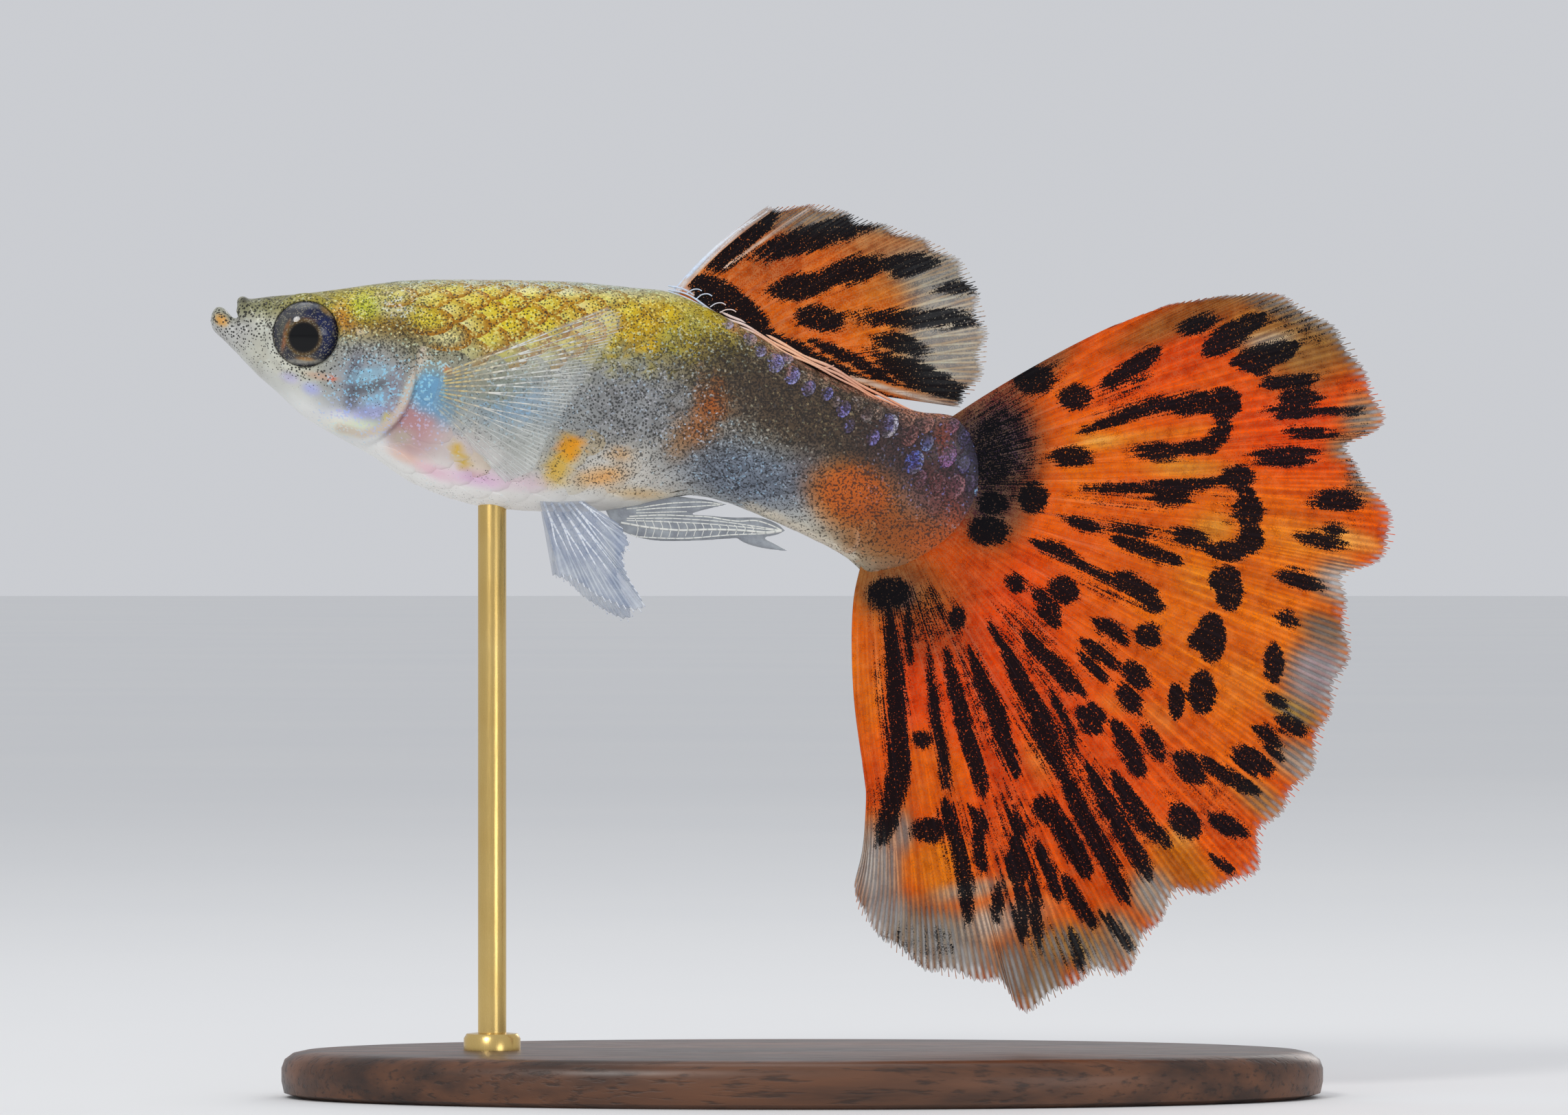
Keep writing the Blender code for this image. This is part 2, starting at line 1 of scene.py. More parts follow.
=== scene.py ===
# %% [markdown]
# # Dressing a male fancy guppy for display
# The solid model gives the fish's outline, its fins and the stand, all in one fixed frame. This
# script gives each of them its looks: one wet skin without seams, scales laid over it, glassy eyes,
# paper-thin fins on branching rays, and a small wooden stand. Everything is drawn in the fish's own
# drawing, in millimetres from the tip of its lower lip, because that is how the solids were drawn.

import math

import bmesh
import bpy
import numpy as np
from mathutils import Matrix, Vector
from mathutils.bvhtree import BVHTree


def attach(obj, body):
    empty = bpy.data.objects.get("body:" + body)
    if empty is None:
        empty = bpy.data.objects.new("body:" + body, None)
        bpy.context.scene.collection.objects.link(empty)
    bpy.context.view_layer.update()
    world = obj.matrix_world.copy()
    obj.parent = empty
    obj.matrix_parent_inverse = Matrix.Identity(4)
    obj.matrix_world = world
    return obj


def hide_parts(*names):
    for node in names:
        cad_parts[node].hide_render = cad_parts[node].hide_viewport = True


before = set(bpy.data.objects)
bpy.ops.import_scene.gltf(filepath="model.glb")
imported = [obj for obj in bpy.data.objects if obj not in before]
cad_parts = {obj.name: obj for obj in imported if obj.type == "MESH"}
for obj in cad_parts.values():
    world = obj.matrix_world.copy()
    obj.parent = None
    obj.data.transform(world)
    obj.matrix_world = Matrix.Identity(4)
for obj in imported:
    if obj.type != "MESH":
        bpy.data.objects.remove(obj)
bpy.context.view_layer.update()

# %% [markdown]
# ## One drawing for everything
# A museum modeller works from one side view at life size. So does this script: (along, side, up)
# in millimetres, where along runs from the lower lip to the tail. Colours are placed by where they
# sit in the reference photo, in its pixels, each of which is 0.029 mm on the fish. The two helpers
# turn one into the other, so that a spot on the body is found the same way on skin, scale or fin.

# %% The drawing and the photo
MM = 0.001
PHOTO_MM = 0.029
LIP_PIXEL = (306.0, 470.0)
HALF_LENGTH = 25.0
LIP_HEIGHT = 32.8
CAMERA_REACH = 460.0
PHOTO_MIDDLE = np.array((1141.5, 814.8))
TO_FRAME = Matrix.Scale(MM, 4) @ Matrix.Translation((-HALF_LENGTH, 0.0, LIP_HEIGHT))


def photo_of(points, mirrored=False):
    """Where (along, side, up) points fall in the photo, in pixels; both flanks alike when mirrored."""
    flat = np.stack((points[..., 0] / PHOTO_MM + LIP_PIXEL[0], LIP_PIXEL[1] - points[..., 2] / PHOTO_MM), -1)
    side = -np.abs(points[..., 1]) if mirrored else points[..., 1]
    nearness = CAMERA_REACH / (CAMERA_REACH + side)
    return PHOTO_MIDDLE + (flat - PHOTO_MIDDLE) * nearness[..., None]


def drawn(pixels, side=0.0):
    """(along, side, up) points for the photo's pixels, at one distance from the middle plane."""
    x, y = np.asarray(pixels, float).T
    along, up = (x - LIP_PIXEL[0]) * PHOTO_MM, (LIP_PIXEL[1] - y) * PHOTO_MM
    return np.stack((along, np.full(x.shape, side), up), -1)


def ease(low, high, value):
    """0 below low, 1 above high, and a smooth rise between."""
    share = np.clip((np.asarray(value, float) - low) / (high - low), 0.0, 1.0)
    return share * share * (3 - 2 * share)

# %% [markdown]
# ## Smooth lines through few points
# A curve through a few given points keeps a shape easy to change. Catmull-Rom passes through every
# point, which a Bezier's handles don't, so the numbers stay places on the fish.

# %% Curves
def curve_at(points, where):
    """The points at fractional indices of a Catmull-Rom curve."""
    points = np.asarray(points, float)
    padded = np.vstack((2 * points[0] - points[1], points, 2 * points[-1] - points[-2]))
    where = np.clip(np.asarray(where, float), 0, len(points) - 1)
    index = np.minimum(where.astype(int), len(points) - 2)
    s = (where - index)[..., None]
    a, b, c, d = (padded[index + k] for k in range(4))
    return 0.5 * (2 * b + (c - a) * s + (2 * a - 5 * b + 4 * c - d) * s**2 + (3 * b - a - 3 * c + d) * s**3)


def travelled(points):
    """How far along a line each of its points lies."""
    return np.concatenate(([0.0], np.cumsum(np.linalg.norm(np.diff(points, axis=0), axis=1))))


def even_curve(points, share):
    """The points at shares 0 to 1 of the curve's length."""
    fine = curve_at(points, np.linspace(0, len(points) - 1, 401))
    reach = travelled(fine)
    target = np.asarray(share, float) * reach[-1]
    return np.stack([np.interp(target, reach, fine[:, axis]) for axis in range(fine.shape[1])], -1)


# %% [markdown]
# ## Meshes from arrays
# A skin of tens of thousands of points is quicker to work out as one array than point by point.
# These helpers turn an array in the drawing's millimetres into a Blender mesh and back.

# %% Mesh helpers
def grid_faces(rows, columns, closed=False):
    """The four-cornered faces of a grid whose points run row by row."""
    across = columns if closed else columns - 1
    r, c = np.meshgrid(np.arange(rows - 1), np.arange(across), indexing="ij")
    right = (c + 1) % columns
    here, below = r * columns, (r + 1) * columns
    return np.stack((here + c, here + right, below + right, below + c), -1).reshape(-1, 4)


def new_piece(name, points, faces, edges=()):
    """An object from points in the drawing's millimetres."""
    mesh = bpy.data.meshes.new(name)
    faces = faces.tolist() if isinstance(faces, np.ndarray) else faces
    mesh.from_pydata(np.asarray(points, float).reshape(-1, 3).tolist(), list(edges), faces)
    obj = bpy.data.objects.new(name, mesh)
    bpy.context.scene.collection.objects.link(obj)
    return obj


def points_of(obj):
    """The points of a mesh as an array."""
    found = np.empty(len(obj.data.vertices) * 3, np.float32)
    obj.data.vertices.foreach_get("co", found)
    return found.reshape(-1, 3).astype(float)


def set_points(obj, points):
    obj.data.vertices.foreach_set("co", np.asarray(points, np.float32).ravel())
    obj.data.update()


def store(obj, name, values):
    """Keeps a number or a colour at every point of a mesh, for its material to read."""
    values = np.asarray(values, np.float32)
    if values.ndim == 1:
        obj.data.attributes.new(name, "FLOAT", "POINT").data.foreach_set("value", values)
        return
    full = np.ones((len(values), 4), np.float32)
    full[:, : values.shape[1]] = values
    obj.data.attributes.new(name, "FLOAT_COLOR", "POINT").data.foreach_set("color", full.ravel())


def applied(obj):
    """Replaces a mesh by what its modifiers make of it."""
    graph = bpy.context.evaluated_depsgraph_get()
    mesh = bpy.data.meshes.new_from_object(obj.evaluated_get(graph))
    obj.modifiers.clear()
    obj.data = mesh
    return obj


def tidied(obj, merge=0.001):
    """Merges doubled points and turns the faces outwards."""
    bm = bmesh.new()
    bm.from_mesh(obj.data)
    bmesh.ops.remove_doubles(bm, verts=bm.verts, dist=merge)
    bmesh.ops.recalc_face_normals(bm, faces=bm.faces)
    bm.to_mesh(obj.data)
    bm.free()
    return obj


def around(sides):
    """Even turns of a full circle."""
    return np.linspace(0, math.tau, sides, endpoint=False)


def shell_of(name, rings, merge=0.001):
    """A closed mesh from rings of points, its end rings drawn together to points."""
    return tidied(new_piece(name, rings, grid_faces(*rings.shape[:2], closed=True)), merge)


def wrapped(parts, cell_mm, smoothing=0):
    """Meshes joined into the first one and wrapped in one closed voxel skin."""
    with bpy.context.temp_override(active_object=parts[0], selected_editable_objects=parts, object=parts[0]):
        bpy.ops.object.join()
    wrap = parts[0].modifiers.new("one skin", "REMESH")
    wrap.mode = "VOXEL"
    wrap.voxel_size = cell_mm
    if smoothing:
        soften = parts[0].modifiers.new("soften", "SMOOTH")
        soften.factor = 0.5
        soften.iterations = smoothing
    return applied(parts[0])


def surface_of(obj):
    """A mesh as a search tree, for its nearest point or for where a line meets it."""
    points, faces = [v.co[:] for v in obj.data.vertices], [face.vertices[:] for face in obj.data.polygons]
    return BVHTree.FromPolygons(points, faces)


def placed(obj, slot, material, *nodes):
    """Moves a finished mesh from the drawing into the frame and hides the solid nodes it stands for."""
    obj.data.transform(TO_FRAME)
    obj.data.shade_smooth()
    obj.data.materials.clear()
    obj.data.materials.append(material)
    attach(obj, "root")
    if nodes:
        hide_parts(*nodes)
    obj.data.calc_loop_triangles()
    print(obj.name, "has", len(obj.data.loop_triangles), "triangles")
    return obj


# %% [markdown]
# ## Shader sums written as sums
# A material is a net of small nodes. Wrapping a socket in a class that knows + - * / keeps the net
# readable: 1 - mask adds a Math node by itself, and every other node comes from one method.

# %% Node helpers
class Wire:
    """A socket's value. Arithmetic on it adds Math nodes to its net."""

    def __init__(self, net, socket):
        self.net, self.socket = net, socket

    def math(self, operation, *others):
        return self.net.node("ShaderNodeMath", dict(enumerate((self, *others))), operation=operation)

    def __add__(self, other):
        return self.math("ADD", other)

    def __sub__(self, other):
        return self.math("SUBTRACT", other)

    def __mul__(self, other):
        return self.math("MULTIPLY", other)

    def __truediv__(self, other):
        return self.math("DIVIDE", other)

    def __rsub__(self, other):
        return self * -1.0 + other

    __radd__ = __add__
    __rmul__ = __mul__

    def size(self):
        return self.math("ABSOLUTE")

    def fraction(self):
        return self.math("FRACT")

    def ease(self, low, high):
        """0 below low, 1 above high, smooth between."""
        return self.net.node("ShaderNodeMapRange", {"Value": self, "From Min": low, "From Max": high},
                             interpolation_type="SMOOTHSTEP")

    def out(self, name):
        """Another output of the same node."""
        return Wire(self.net, self.socket.node.outputs[name])


class Net:
    """A node tree under construction, for a material or for Geometry Nodes."""

    def __init__(self, tree):
        self.tree = tree

    def node(self, kind, inputs=None, output=0, **settings):
        """A new node: its settings are set first, then a value or a link for each input."""
        made = self.tree.nodes.new(kind)
        for name, value in settings.items():
            setattr(made, name, value)
        for name, value in (inputs or {}).items():
            if isinstance(value, Wire):
                self.tree.links.new(value.socket, made.inputs[name])
            else:
                made.inputs[name].default_value = value
        return Wire(self, made.outputs[output])


def rgb(red, green, blue):
    """A colour as a screen shows it, from 0 to 255, turned into light."""
    return tuple(((part / 255 + 0.055) / 1.055) ** 2.4 if part > 10 else part / 255 / 12.92
                 for part in (red, green, blue))


class Finish(Net):
    """A material with one Principled shader, and the few textures that its looks are mixed from."""

    def __init__(self, name, **constants):
        self.material = bpy.data.materials.new(name)
        self.material.use_nodes = True
        super().__init__(self.material.node_tree)
        self.shader = self.tree.nodes["Principled BSDF"]
        for socket, value in constants.items():
            self.shader.inputs[socket.replace("_", " ")].default_value = value

    def spot(self):
        return self.node("ShaderNodeTexCoord", output="Object")

    def stretched(self, scale):
        """The spot with its three directions scaled, which draws a pattern out."""
        return self.node("ShaderNodeMapping", {"Vector": self.spot(), "Scale": scale})

    def attribute(self, name, output="Fac"):
        return self.node("ShaderNodeAttribute", output=output, attribute_name=name)

    def mix(self, factor, first, second, blend="MIX"):
        """A blend of two colours; a plain colour is given as three numbers."""
        full = [value if isinstance(value, Wire) else (*value, 1.0) for value in (first, second)]
        return self.node("ShaderNodeMix", {0: factor, 6: full[0], 7: full[1]}, 2, data_type="RGBA",
                         blend_type=blend)

    def tinted(self, colour, tint):
        """A colour seen through coloured glass."""
        return self.mix(1.0, colour, tint, "MULTIPLY")

    def channel(self, colour, name):
        return self.node("ShaderNodeSeparateColor", {"Color": colour}, name)

    def noise(self, size_mm, detail=3.0, place=None):
        """Soft noise with lumps of about this size."""
        return self.node("ShaderNodeTexNoise", {"Vector": place or self.spot(), "Scale": 1 / (size_mm * MM),
                                                "Detail": detail, "Roughness": 0.55}, "Fac")

    def cells(self, size_mm, output="Distance"):
        """Voronoi cells of about this size."""
        return self.node("ShaderNodeTexVoronoi", {"Vector": self.spot(), "Scale": 1 / (size_mm * MM),
                                                  "Randomness": 0.9}, output, feature="F1")

    def feed(self, socket, value):
        self.tree.links.new(value.socket, self.shader.inputs[socket])

    def bump(self, height, depth_mm, strength=1.0):
        self.feed("Normal", self.node("ShaderNodeBump", {"Height": height, "Strength": strength,
                                                         "Distance": depth_mm * MM}))

# %% [markdown]
# ## Camera, light and floor
# The photo was taken square to the fish's side with a long lens, so the camera stands almost half
# a metre away and looks level. A wide pale floor under a pale sky gives soft even light from every
# side, and four soft lamps add the shape: one to the front left as the flash, one to fill, one
# from above and one from behind, which shines through the edges of the fins.

# %% Camera
CAMERA_MM = (-0.77, -CAMERA_REACH, 22.8)
LENS, SENSOR_WIDTH = 250.0, 36.0

camera = bpy.data.objects.new("camera", bpy.data.cameras.new("camera"))
camera.data.lens = LENS
camera.data.sensor_width = SENSOR_WIDTH
camera.data.clip_start = 0.01
camera.location = Vector(CAMERA_MM) * MM
camera.rotation_euler = (math.radians(90), 0.0, 0.0)
bpy.context.scene.collection.objects.link(camera)
bpy.context.scene.camera = camera
bpy.context.scene.view_settings.view_transform = "Standard"

# %% Floor
FLOOR_RADIUS, FLOOR_SIDES = 6.0, 128
CLOUD_MM = 1000 / 9


def make_floor():
    """A wide round sheet of pale paper, which isn't part of the object."""
    points = [(FLOOR_RADIUS * math.cos(t), FLOOR_RADIUS * math.sin(t), 0.0) for t in around(FLOOR_SIDES)]
    floor = new_piece("floor", points, [list(range(FLOOR_SIDES))])
    paper = Finish("pale paper", Roughness=0.9, Specular_IOR_Level=0.1)
    paper.feed("Base Color", paper.mix(paper.noise(CLOUD_MM), rgb(236, 237, 238), rgb(242, 242, 241)))
    floor.data.materials.append(paper.material)


make_floor()

# %% Lights
LIGHTS = (  # name, place in metres, width, watts, colour
    ("key", (-0.36, -0.80, 0.55), 0.24, 0.15, (1.0, 0.985, 0.96)),
    ("fill", (0.55, -0.80, 0.06), 0.40, 0.070, (0.96, 0.98, 1.0)),
    ("top", (-0.05, 0.10, 0.90), 0.40, 0.06, (1.0, 1.0, 1.0)),
    ("back", (0.30, 0.80, 0.30), 0.40, 0.07, (1.0, 0.98, 0.95)),
)
LIT_POINT = Vector((0.0, 0.0, 0.02))
BEAM_DEG = 40.0
SKY_COLOUR, SKY_STRENGTH = (0.93, 0.95, 1.0, 1.0), 0.64

for name, place, width, watts, colour in LIGHTS:
    light = bpy.data.objects.new(name, bpy.data.lights.new(name, "AREA"))
    light.data.shape = "DISK"
    light.data.size = width
    light.data.energy = watts
    light.data.spread = math.radians(BEAM_DEG)
    light.data.color = colour
    light.location = place
    light.rotation_euler = (LIT_POINT - Vector(place)).to_track_quat("-Z", "Y").to_euler()
    bpy.context.scene.collection.objects.link(light)

world = bpy.data.worlds.new("studio")
world.use_nodes = True
sky = world.node_tree.nodes["Background"].inputs
sky["Color"].default_value = SKY_COLOUR
sky["Strength"].default_value = SKY_STRENGTH
bpy.context.scene.world = world
print(len(LIGHTS), "soft lights")

# %% [markdown]
# ## The body's form
# The flesh is drawn as the solids draw it: oval ribs from snout to tail root, with the head flatter
# on top than the back. Here it gets far more points. The gill cover is a thin bony flap, so its
# free edge stands a fifth of a millimetre proud and drops off sharply behind.

# %% Ribs of the body
BODY_RIBS = (
    ((1.10, -0.10), (1.10, -0.10), 0.0), ((1.15, 0.60), (1.15, -0.95), 1.15),
    ((1.35, 0.85), (1.40, -1.60), 1.45), ((1.95, 0.95), (1.95, -2.25), 1.68),
    ((2.75, 1.05), (2.80, -3.00), 1.92), ((3.90, 1.14), (3.95, -4.05), 2.22),
    ((5.35, 1.32), (5.35, -4.90), 2.48), ((6.80, 1.52), (6.80, -5.70), 2.62),
    ((8.55, 1.70), (8.55, -6.85), 2.72), ((10.85, 1.72), (10.85, -7.70), 2.75),
    ((13.15, 1.70), (13.15, -8.00), 2.65), ((15.50, 1.62), (15.35, -8.05), 2.50),
    ((17.50, 1.42), (17.25, -7.95), 2.30), ((19.40, 1.20), (18.80, -7.60), 2.10),
    ((21.00, 0.55), (20.15, -7.35), 1.95), ((23.05, -0.60), (21.60, -7.60), 1.78),
    ((25.35, -1.95), (23.30, -8.25), 1.60), ((27.65, -3.05), (25.20, -9.10), 1.42),
    ((29.70, -3.80), (26.65, -9.85), 1.25), ((31.00, -3.95), (27.40, -10.45), 1.08),
    ((31.75, -4.25), (27.80, -10.75), 0.90), ((32.35, -5.20), (29.40, -10.45), 0.60),
    ((32.65, -6.25), (31.30, -9.40), 0.30), ((32.75, -7.70), (32.75, -7.70), 0.0),
)
LOWER_JAW_RIBS = (
    ((0.00, 0.00), (0.00, 0.00), 0.0), ((0.10, 0.38), (0.10, -0.34), 0.62),
    ((0.32, 0.60), (0.30, -0.58), 0.92), ((0.62, 0.50), (0.55, -0.80), 1.08),
    ((0.90, 0.22), (0.85, -1.10), 1.16), ((1.25, -0.10), (1.20, -1.45), 1.24),
    ((1.65, -0.45), (1.62, -1.90), 1.36), ((2.05, -0.95), (2.10, -2.30), 1.40),
    ((2.35, -1.70), (2.35, -1.70), 0.0),
)
WIDEST_LEVEL = 1.12
HEAD_CROWN, BACK_CROWN = 0.72, 0.95
HEAD_RIBS = (5, 10)
BELLY_KEEL = 1.02
GILL_CENTRE = (5.55, -2.20)
GILL_RADIUS = 3.20
GILL_RISE = 0.22
GILL_SWELL = (4.6, 7.2)  # the cover swells from here to here


def ribbed(ribs, where, turn, crown=1.0, keel=1.0):
    """(along, side, up) at rib index `where` and `turn` from the back, on one side or the other."""
    back = curve_at([rib[0] for rib in ribs], where)
    belly = curve_at([rib[1] for rib in ribs], where)
    width = np.maximum(0.0, curve_at([(rib[2], 0.0) for rib in ribs], where)[..., 0])
    level = (((1 - np.cos(turn)) / 2) ** WIDEST_LEVEL)[..., None]
    spot = back + (belly - back) * level
    out = np.abs(np.sin(turn))
    side = width * out ** np.where(np.cos(turn) > 0, crown, keel)
    return np.stack((spot[..., 0], np.sign(np.sin(turn)) * side, spot[..., 1]), -1)


def body_form(where, turn):
    """The body, with the swelling of the gill covers."""
    crown = HEAD_CROWN + (BACK_CROWN - HEAD_CROWN) * ease(*HEAD_RIBS, where)
    points = ribbed(BODY_RIBS, where, turn, crown, BELLY_KEEL)
    along, up = points[..., 0], points[..., 2]
    reach = np.hypot(along - GILL_CENTRE[0], up - GILL_CENTRE[1])
    rise = GILL_RISE * ease(*GILL_SWELL, along) * (1 - ease(-0.5, 0.5, up))
    rise = rise * (1 - ease(GILL_RADIUS - 0.02, GILL_RADIUS + 0.20, reach))
    points[..., 1] += np.sign(np.sin(turn)) * rise * np.abs(np.sin(turn))
    return points


def closed_form(name, form, last_rib, rings, sides):
    """A closed mesh of a ribbed form."""
    where, turn = np.meshgrid(np.linspace(0, last_rib, rings),
                              np.linspace(-math.pi, math.pi, sides, endpoint=False), indexing="ij")
    return shell_of(name, form(where, turn))


print(len(BODY_RIBS), "ribs in the body and", len(LOWER_JAW_RIBS), "in the lower jaw")

# %% [markdown]
# ## One skin
# Body, lower jaw, upper lip and the raised rims of the eyes overlap as separate shapes. A voxel
# remesh wraps them all in one closed skin, the way a modeller pulls a last coat over an armature,
# and leaves soft creases where they meet. Its cells are a tenth of a millimetre, so it runs
# before the fine work: the eye sockets, the mouth line, the nostrils and the slit behind the gill
# cover are pressed in afterwards, point by point.

# %% The flesh under the skin
UPPER_LIP_PATH = ((2.15, 1.45, -0.05), (1.72, 1.22, 0.55), (1.42, 0.75, 0.76), (1.38, 0.0, 0.80))
UPPER_LIP_RADIUS = 0.25
LIP_RINGS, LIP_SIDES = 60, 20
EYE_CENTRE = (4.12, -0.60)
EYE_RADIUS = 1.42
EYE_SIDE = 1.86
EYE_DEPTH = 0.76
ORBIT_SIDE = 1.72
ORBIT_RADII = (1.72, 0.70, 1.72)
SKIN_CELL_MM = 0.095


def ball(name, centre, radii, rings=24, sides=48):
    """An ellipsoid whose poles point sideways; centre and radii are (along, side, up)."""
    tilt, turn = np.meshgrid(np.linspace(0, math.pi, rings), around(sides), indexing="ij")
    unit = np.stack((np.sin(tilt) * np.cos(turn), np.cos(tilt), np.sin(tilt) * np.sin(turn)), -1)
    return shell_of(name, np.array(centre) + unit * np.array(radii))


def lip_tube():
    """The upper lip, a soft bar that runs round the front of the mouth."""
    half = np.array(UPPER_LIP_PATH)
    path = curve_at(np.vstack((half * (1, -1, 1), half[-2::-1])), np.linspace(0, 6, LIP_RINGS))
    forward = np.gradient(path, axis=0)
    forward /= np.linalg.norm(forward, axis=1)[:, None]
    first = np.cross(forward, (0.0, 0.0, 1.0))
    first /= np.linalg.norm(first, axis=1)[:, None]
    second = np.cross(forward, first)
    turn = around(LIP_SIDES)[None, :, None]
    radius = UPPER_LIP_RADIUS * (0.15 + 0.85 * np.sin(np.linspace(0.02, math.pi - 0.02, LIP_RINGS)) ** 0.35)
    ring = first[:, None] * np.cos(turn) + second[:, None] * np.sin(turn)
    tube = (path[:, None] + ring * radius[:, None, None]).reshape(-1, 3)
    points = np.concatenate((path[:1], tube, path[-1:]))
    last = len(points) - 1
    faces = (grid_faces(LIP_RINGS, LIP_SIDES, closed=True) + 1).tolist()
    for k in range(LIP_SIDES):
        right = (k + 1) % LIP_SIDES
        faces += [[0, 1 + right, 1 + k], [last, last - LIP_SIDES + k, last - LIP_SIDES + right]]
    return tidied(new_piece("lip", points, faces))


def make_flesh():
    """Every shape of the flesh, wrapped in one remeshed skin."""
    def jaw_form(where, turn):
        return ribbed(LOWER_JAW_RIBS, where, turn, 1.0, 0.9)
    parts = [closed_form("fish_skin", body_form, len(BODY_RIBS) - 1, 260, 150),
             closed_form("jaw", jaw_form, len(LOWER_JAW_RIBS) - 1, 60, 60), lip_tube()]
    for side in (-1, 1):
        parts.append(ball("orbit", (EYE_CENTRE[0], side * ORBIT_SIDE, EYE_CENTRE[1]), ORBIT_RADII))
    return wrapped(parts, SKIN_CELL_MM, smoothing=4)


skin = make_flesh()
print("the skin has", len(skin.data.vertices), "points")

# %% [markdown]
# ## Pressed-in details
# Small hollows are moves of the skin's own points. Distance to a line or a disc in the side view
# says how deep each point goes, on both flanks alike, and an eased edge keeps the hollow soft.

# %% Sockets, mouth line, nostrils and gill slit
MOUTH_LINE = ((0.70, 0.62), (0.98, 0.30), (1.30, 0.02), (1.62, -0.28), (1.85, -0.62))
NOSTRIL_SPOT = (2.42, 0.62)
NOSTRIL_RIM = 0.26
GILL_SLIT_TURNS = (50.0, -104.0)
GILL_SLIT_RADIUS = GILL_RADIUS + 0.13
SOCKET_FLOOR = 1.35  # the eye socket is this far from the middle plane


def distance_to(line, points):
    """Distance from (x, y) points to a run of straight lines, and the share of the way along it."""
    line = np.asarray(line, float)
    best = np.full(points.shape[:-1], 1e9)
    share = np.zeros(points.shape[:-1])
    for index, (start, end) in enumerate(zip(line, line[1:])):
        leg = end - start
        t = np.clip(((points - start) @ leg) / (leg @ leg), 0.0, 1.0)
        away = np.linalg.norm(points - start - t[..., None] * leg, axis=-1)
        share = np.where(away < best, (index + t) / (len(line) - 1), share)
        best = np.minimum(best, away)
    return best, share


def hollow(depth, low, high, away):
    """A hollow's depth: full nearer than low, gone beyond high."""
    return depth * (1 - ease(low, high, away))


def press_details(skin):
    """Presses the small hollows in, and flattens the skin behind the eyes."""
    points = points_of(skin)
    normals = np.array([vert.normal for vert in skin.data.vertices])
    flat, width = points[:, [0, 2]], np.abs(points[:, 1])
    away = np.linalg.norm(flat - np.array(EYE_CENTRE), axis=1)
    flank, snout = width > 0.9, width > 0.5
    mouth, share = distance_to(MOUTH_LINE, flat)
    press = hollow(0.14, 0.02, 0.16, mouth) * np.sin(math.pi * np.clip(share + 0.12, 0, 1)) ** 0.4
    turns = np.radians(np.linspace(*GILL_SLIT_TURNS, 40))
    arc = np.stack((GILL_CENTRE[0] + GILL_SLIT_RADIUS * np.cos(turns),
                    GILL_CENTRE[1] + GILL_SLIT_RADIUS * np.sin(turns)), -1)
    slit, share = distance_to(arc, flat)
    press += hollow(0.10, 0.0, 0.13, slit) * flank * ease(0.0, 0.25, share) * (1 - ease(0.55, 0.88, share))
    hole = np.linalg.norm(flat - np.array(NOSTRIL_SPOT), axis=1)
    press += hollow(0.16, 0.05, 0.20, hole) * snout
    press -= hollow(0.05, 0.02, 0.12, np.abs(hole - NOSTRIL_RIM)) * snout
    press -= hollow(0.05, 0.0, 0.2, np.abs(away - EYE_RADIUS - 0.22)) * flank
    press += hollow(0.04, 0.0, 0.16, np.abs(away - EYE_RADIUS - 0.52)) * flank
    points -= normals * press[:, None]
    socket = hollow(1.0, EYE_RADIUS - 0.14, EYE_RADIUS, away) * flank
    inner = np.sign(points[:, 1]) * np.minimum(np.abs(points[:, 1]), SOCKET_FLOOR)
    points[:, 1] += (inner - points[:, 1]) * socket
    set_points(skin, points)
    print("pressed", int((press > 0.01).sum()), "points in, and", int((socket > 0.5).sum()), "for the eyes")


press_details(skin)

# %% [markdown]
# ## The living colours
# A guppy's colour lies in layers: white or blue mirror cells deep down, washes of yellow, orange
# and red over them, and black dots on top. The washes are laid here as soft tilted ovals, each with
# its place and size in the photo's pixels, in the order a painter would glaze them. One function
# paints any point, so skin and scales carry the same marks, and each flank mirrors the other.

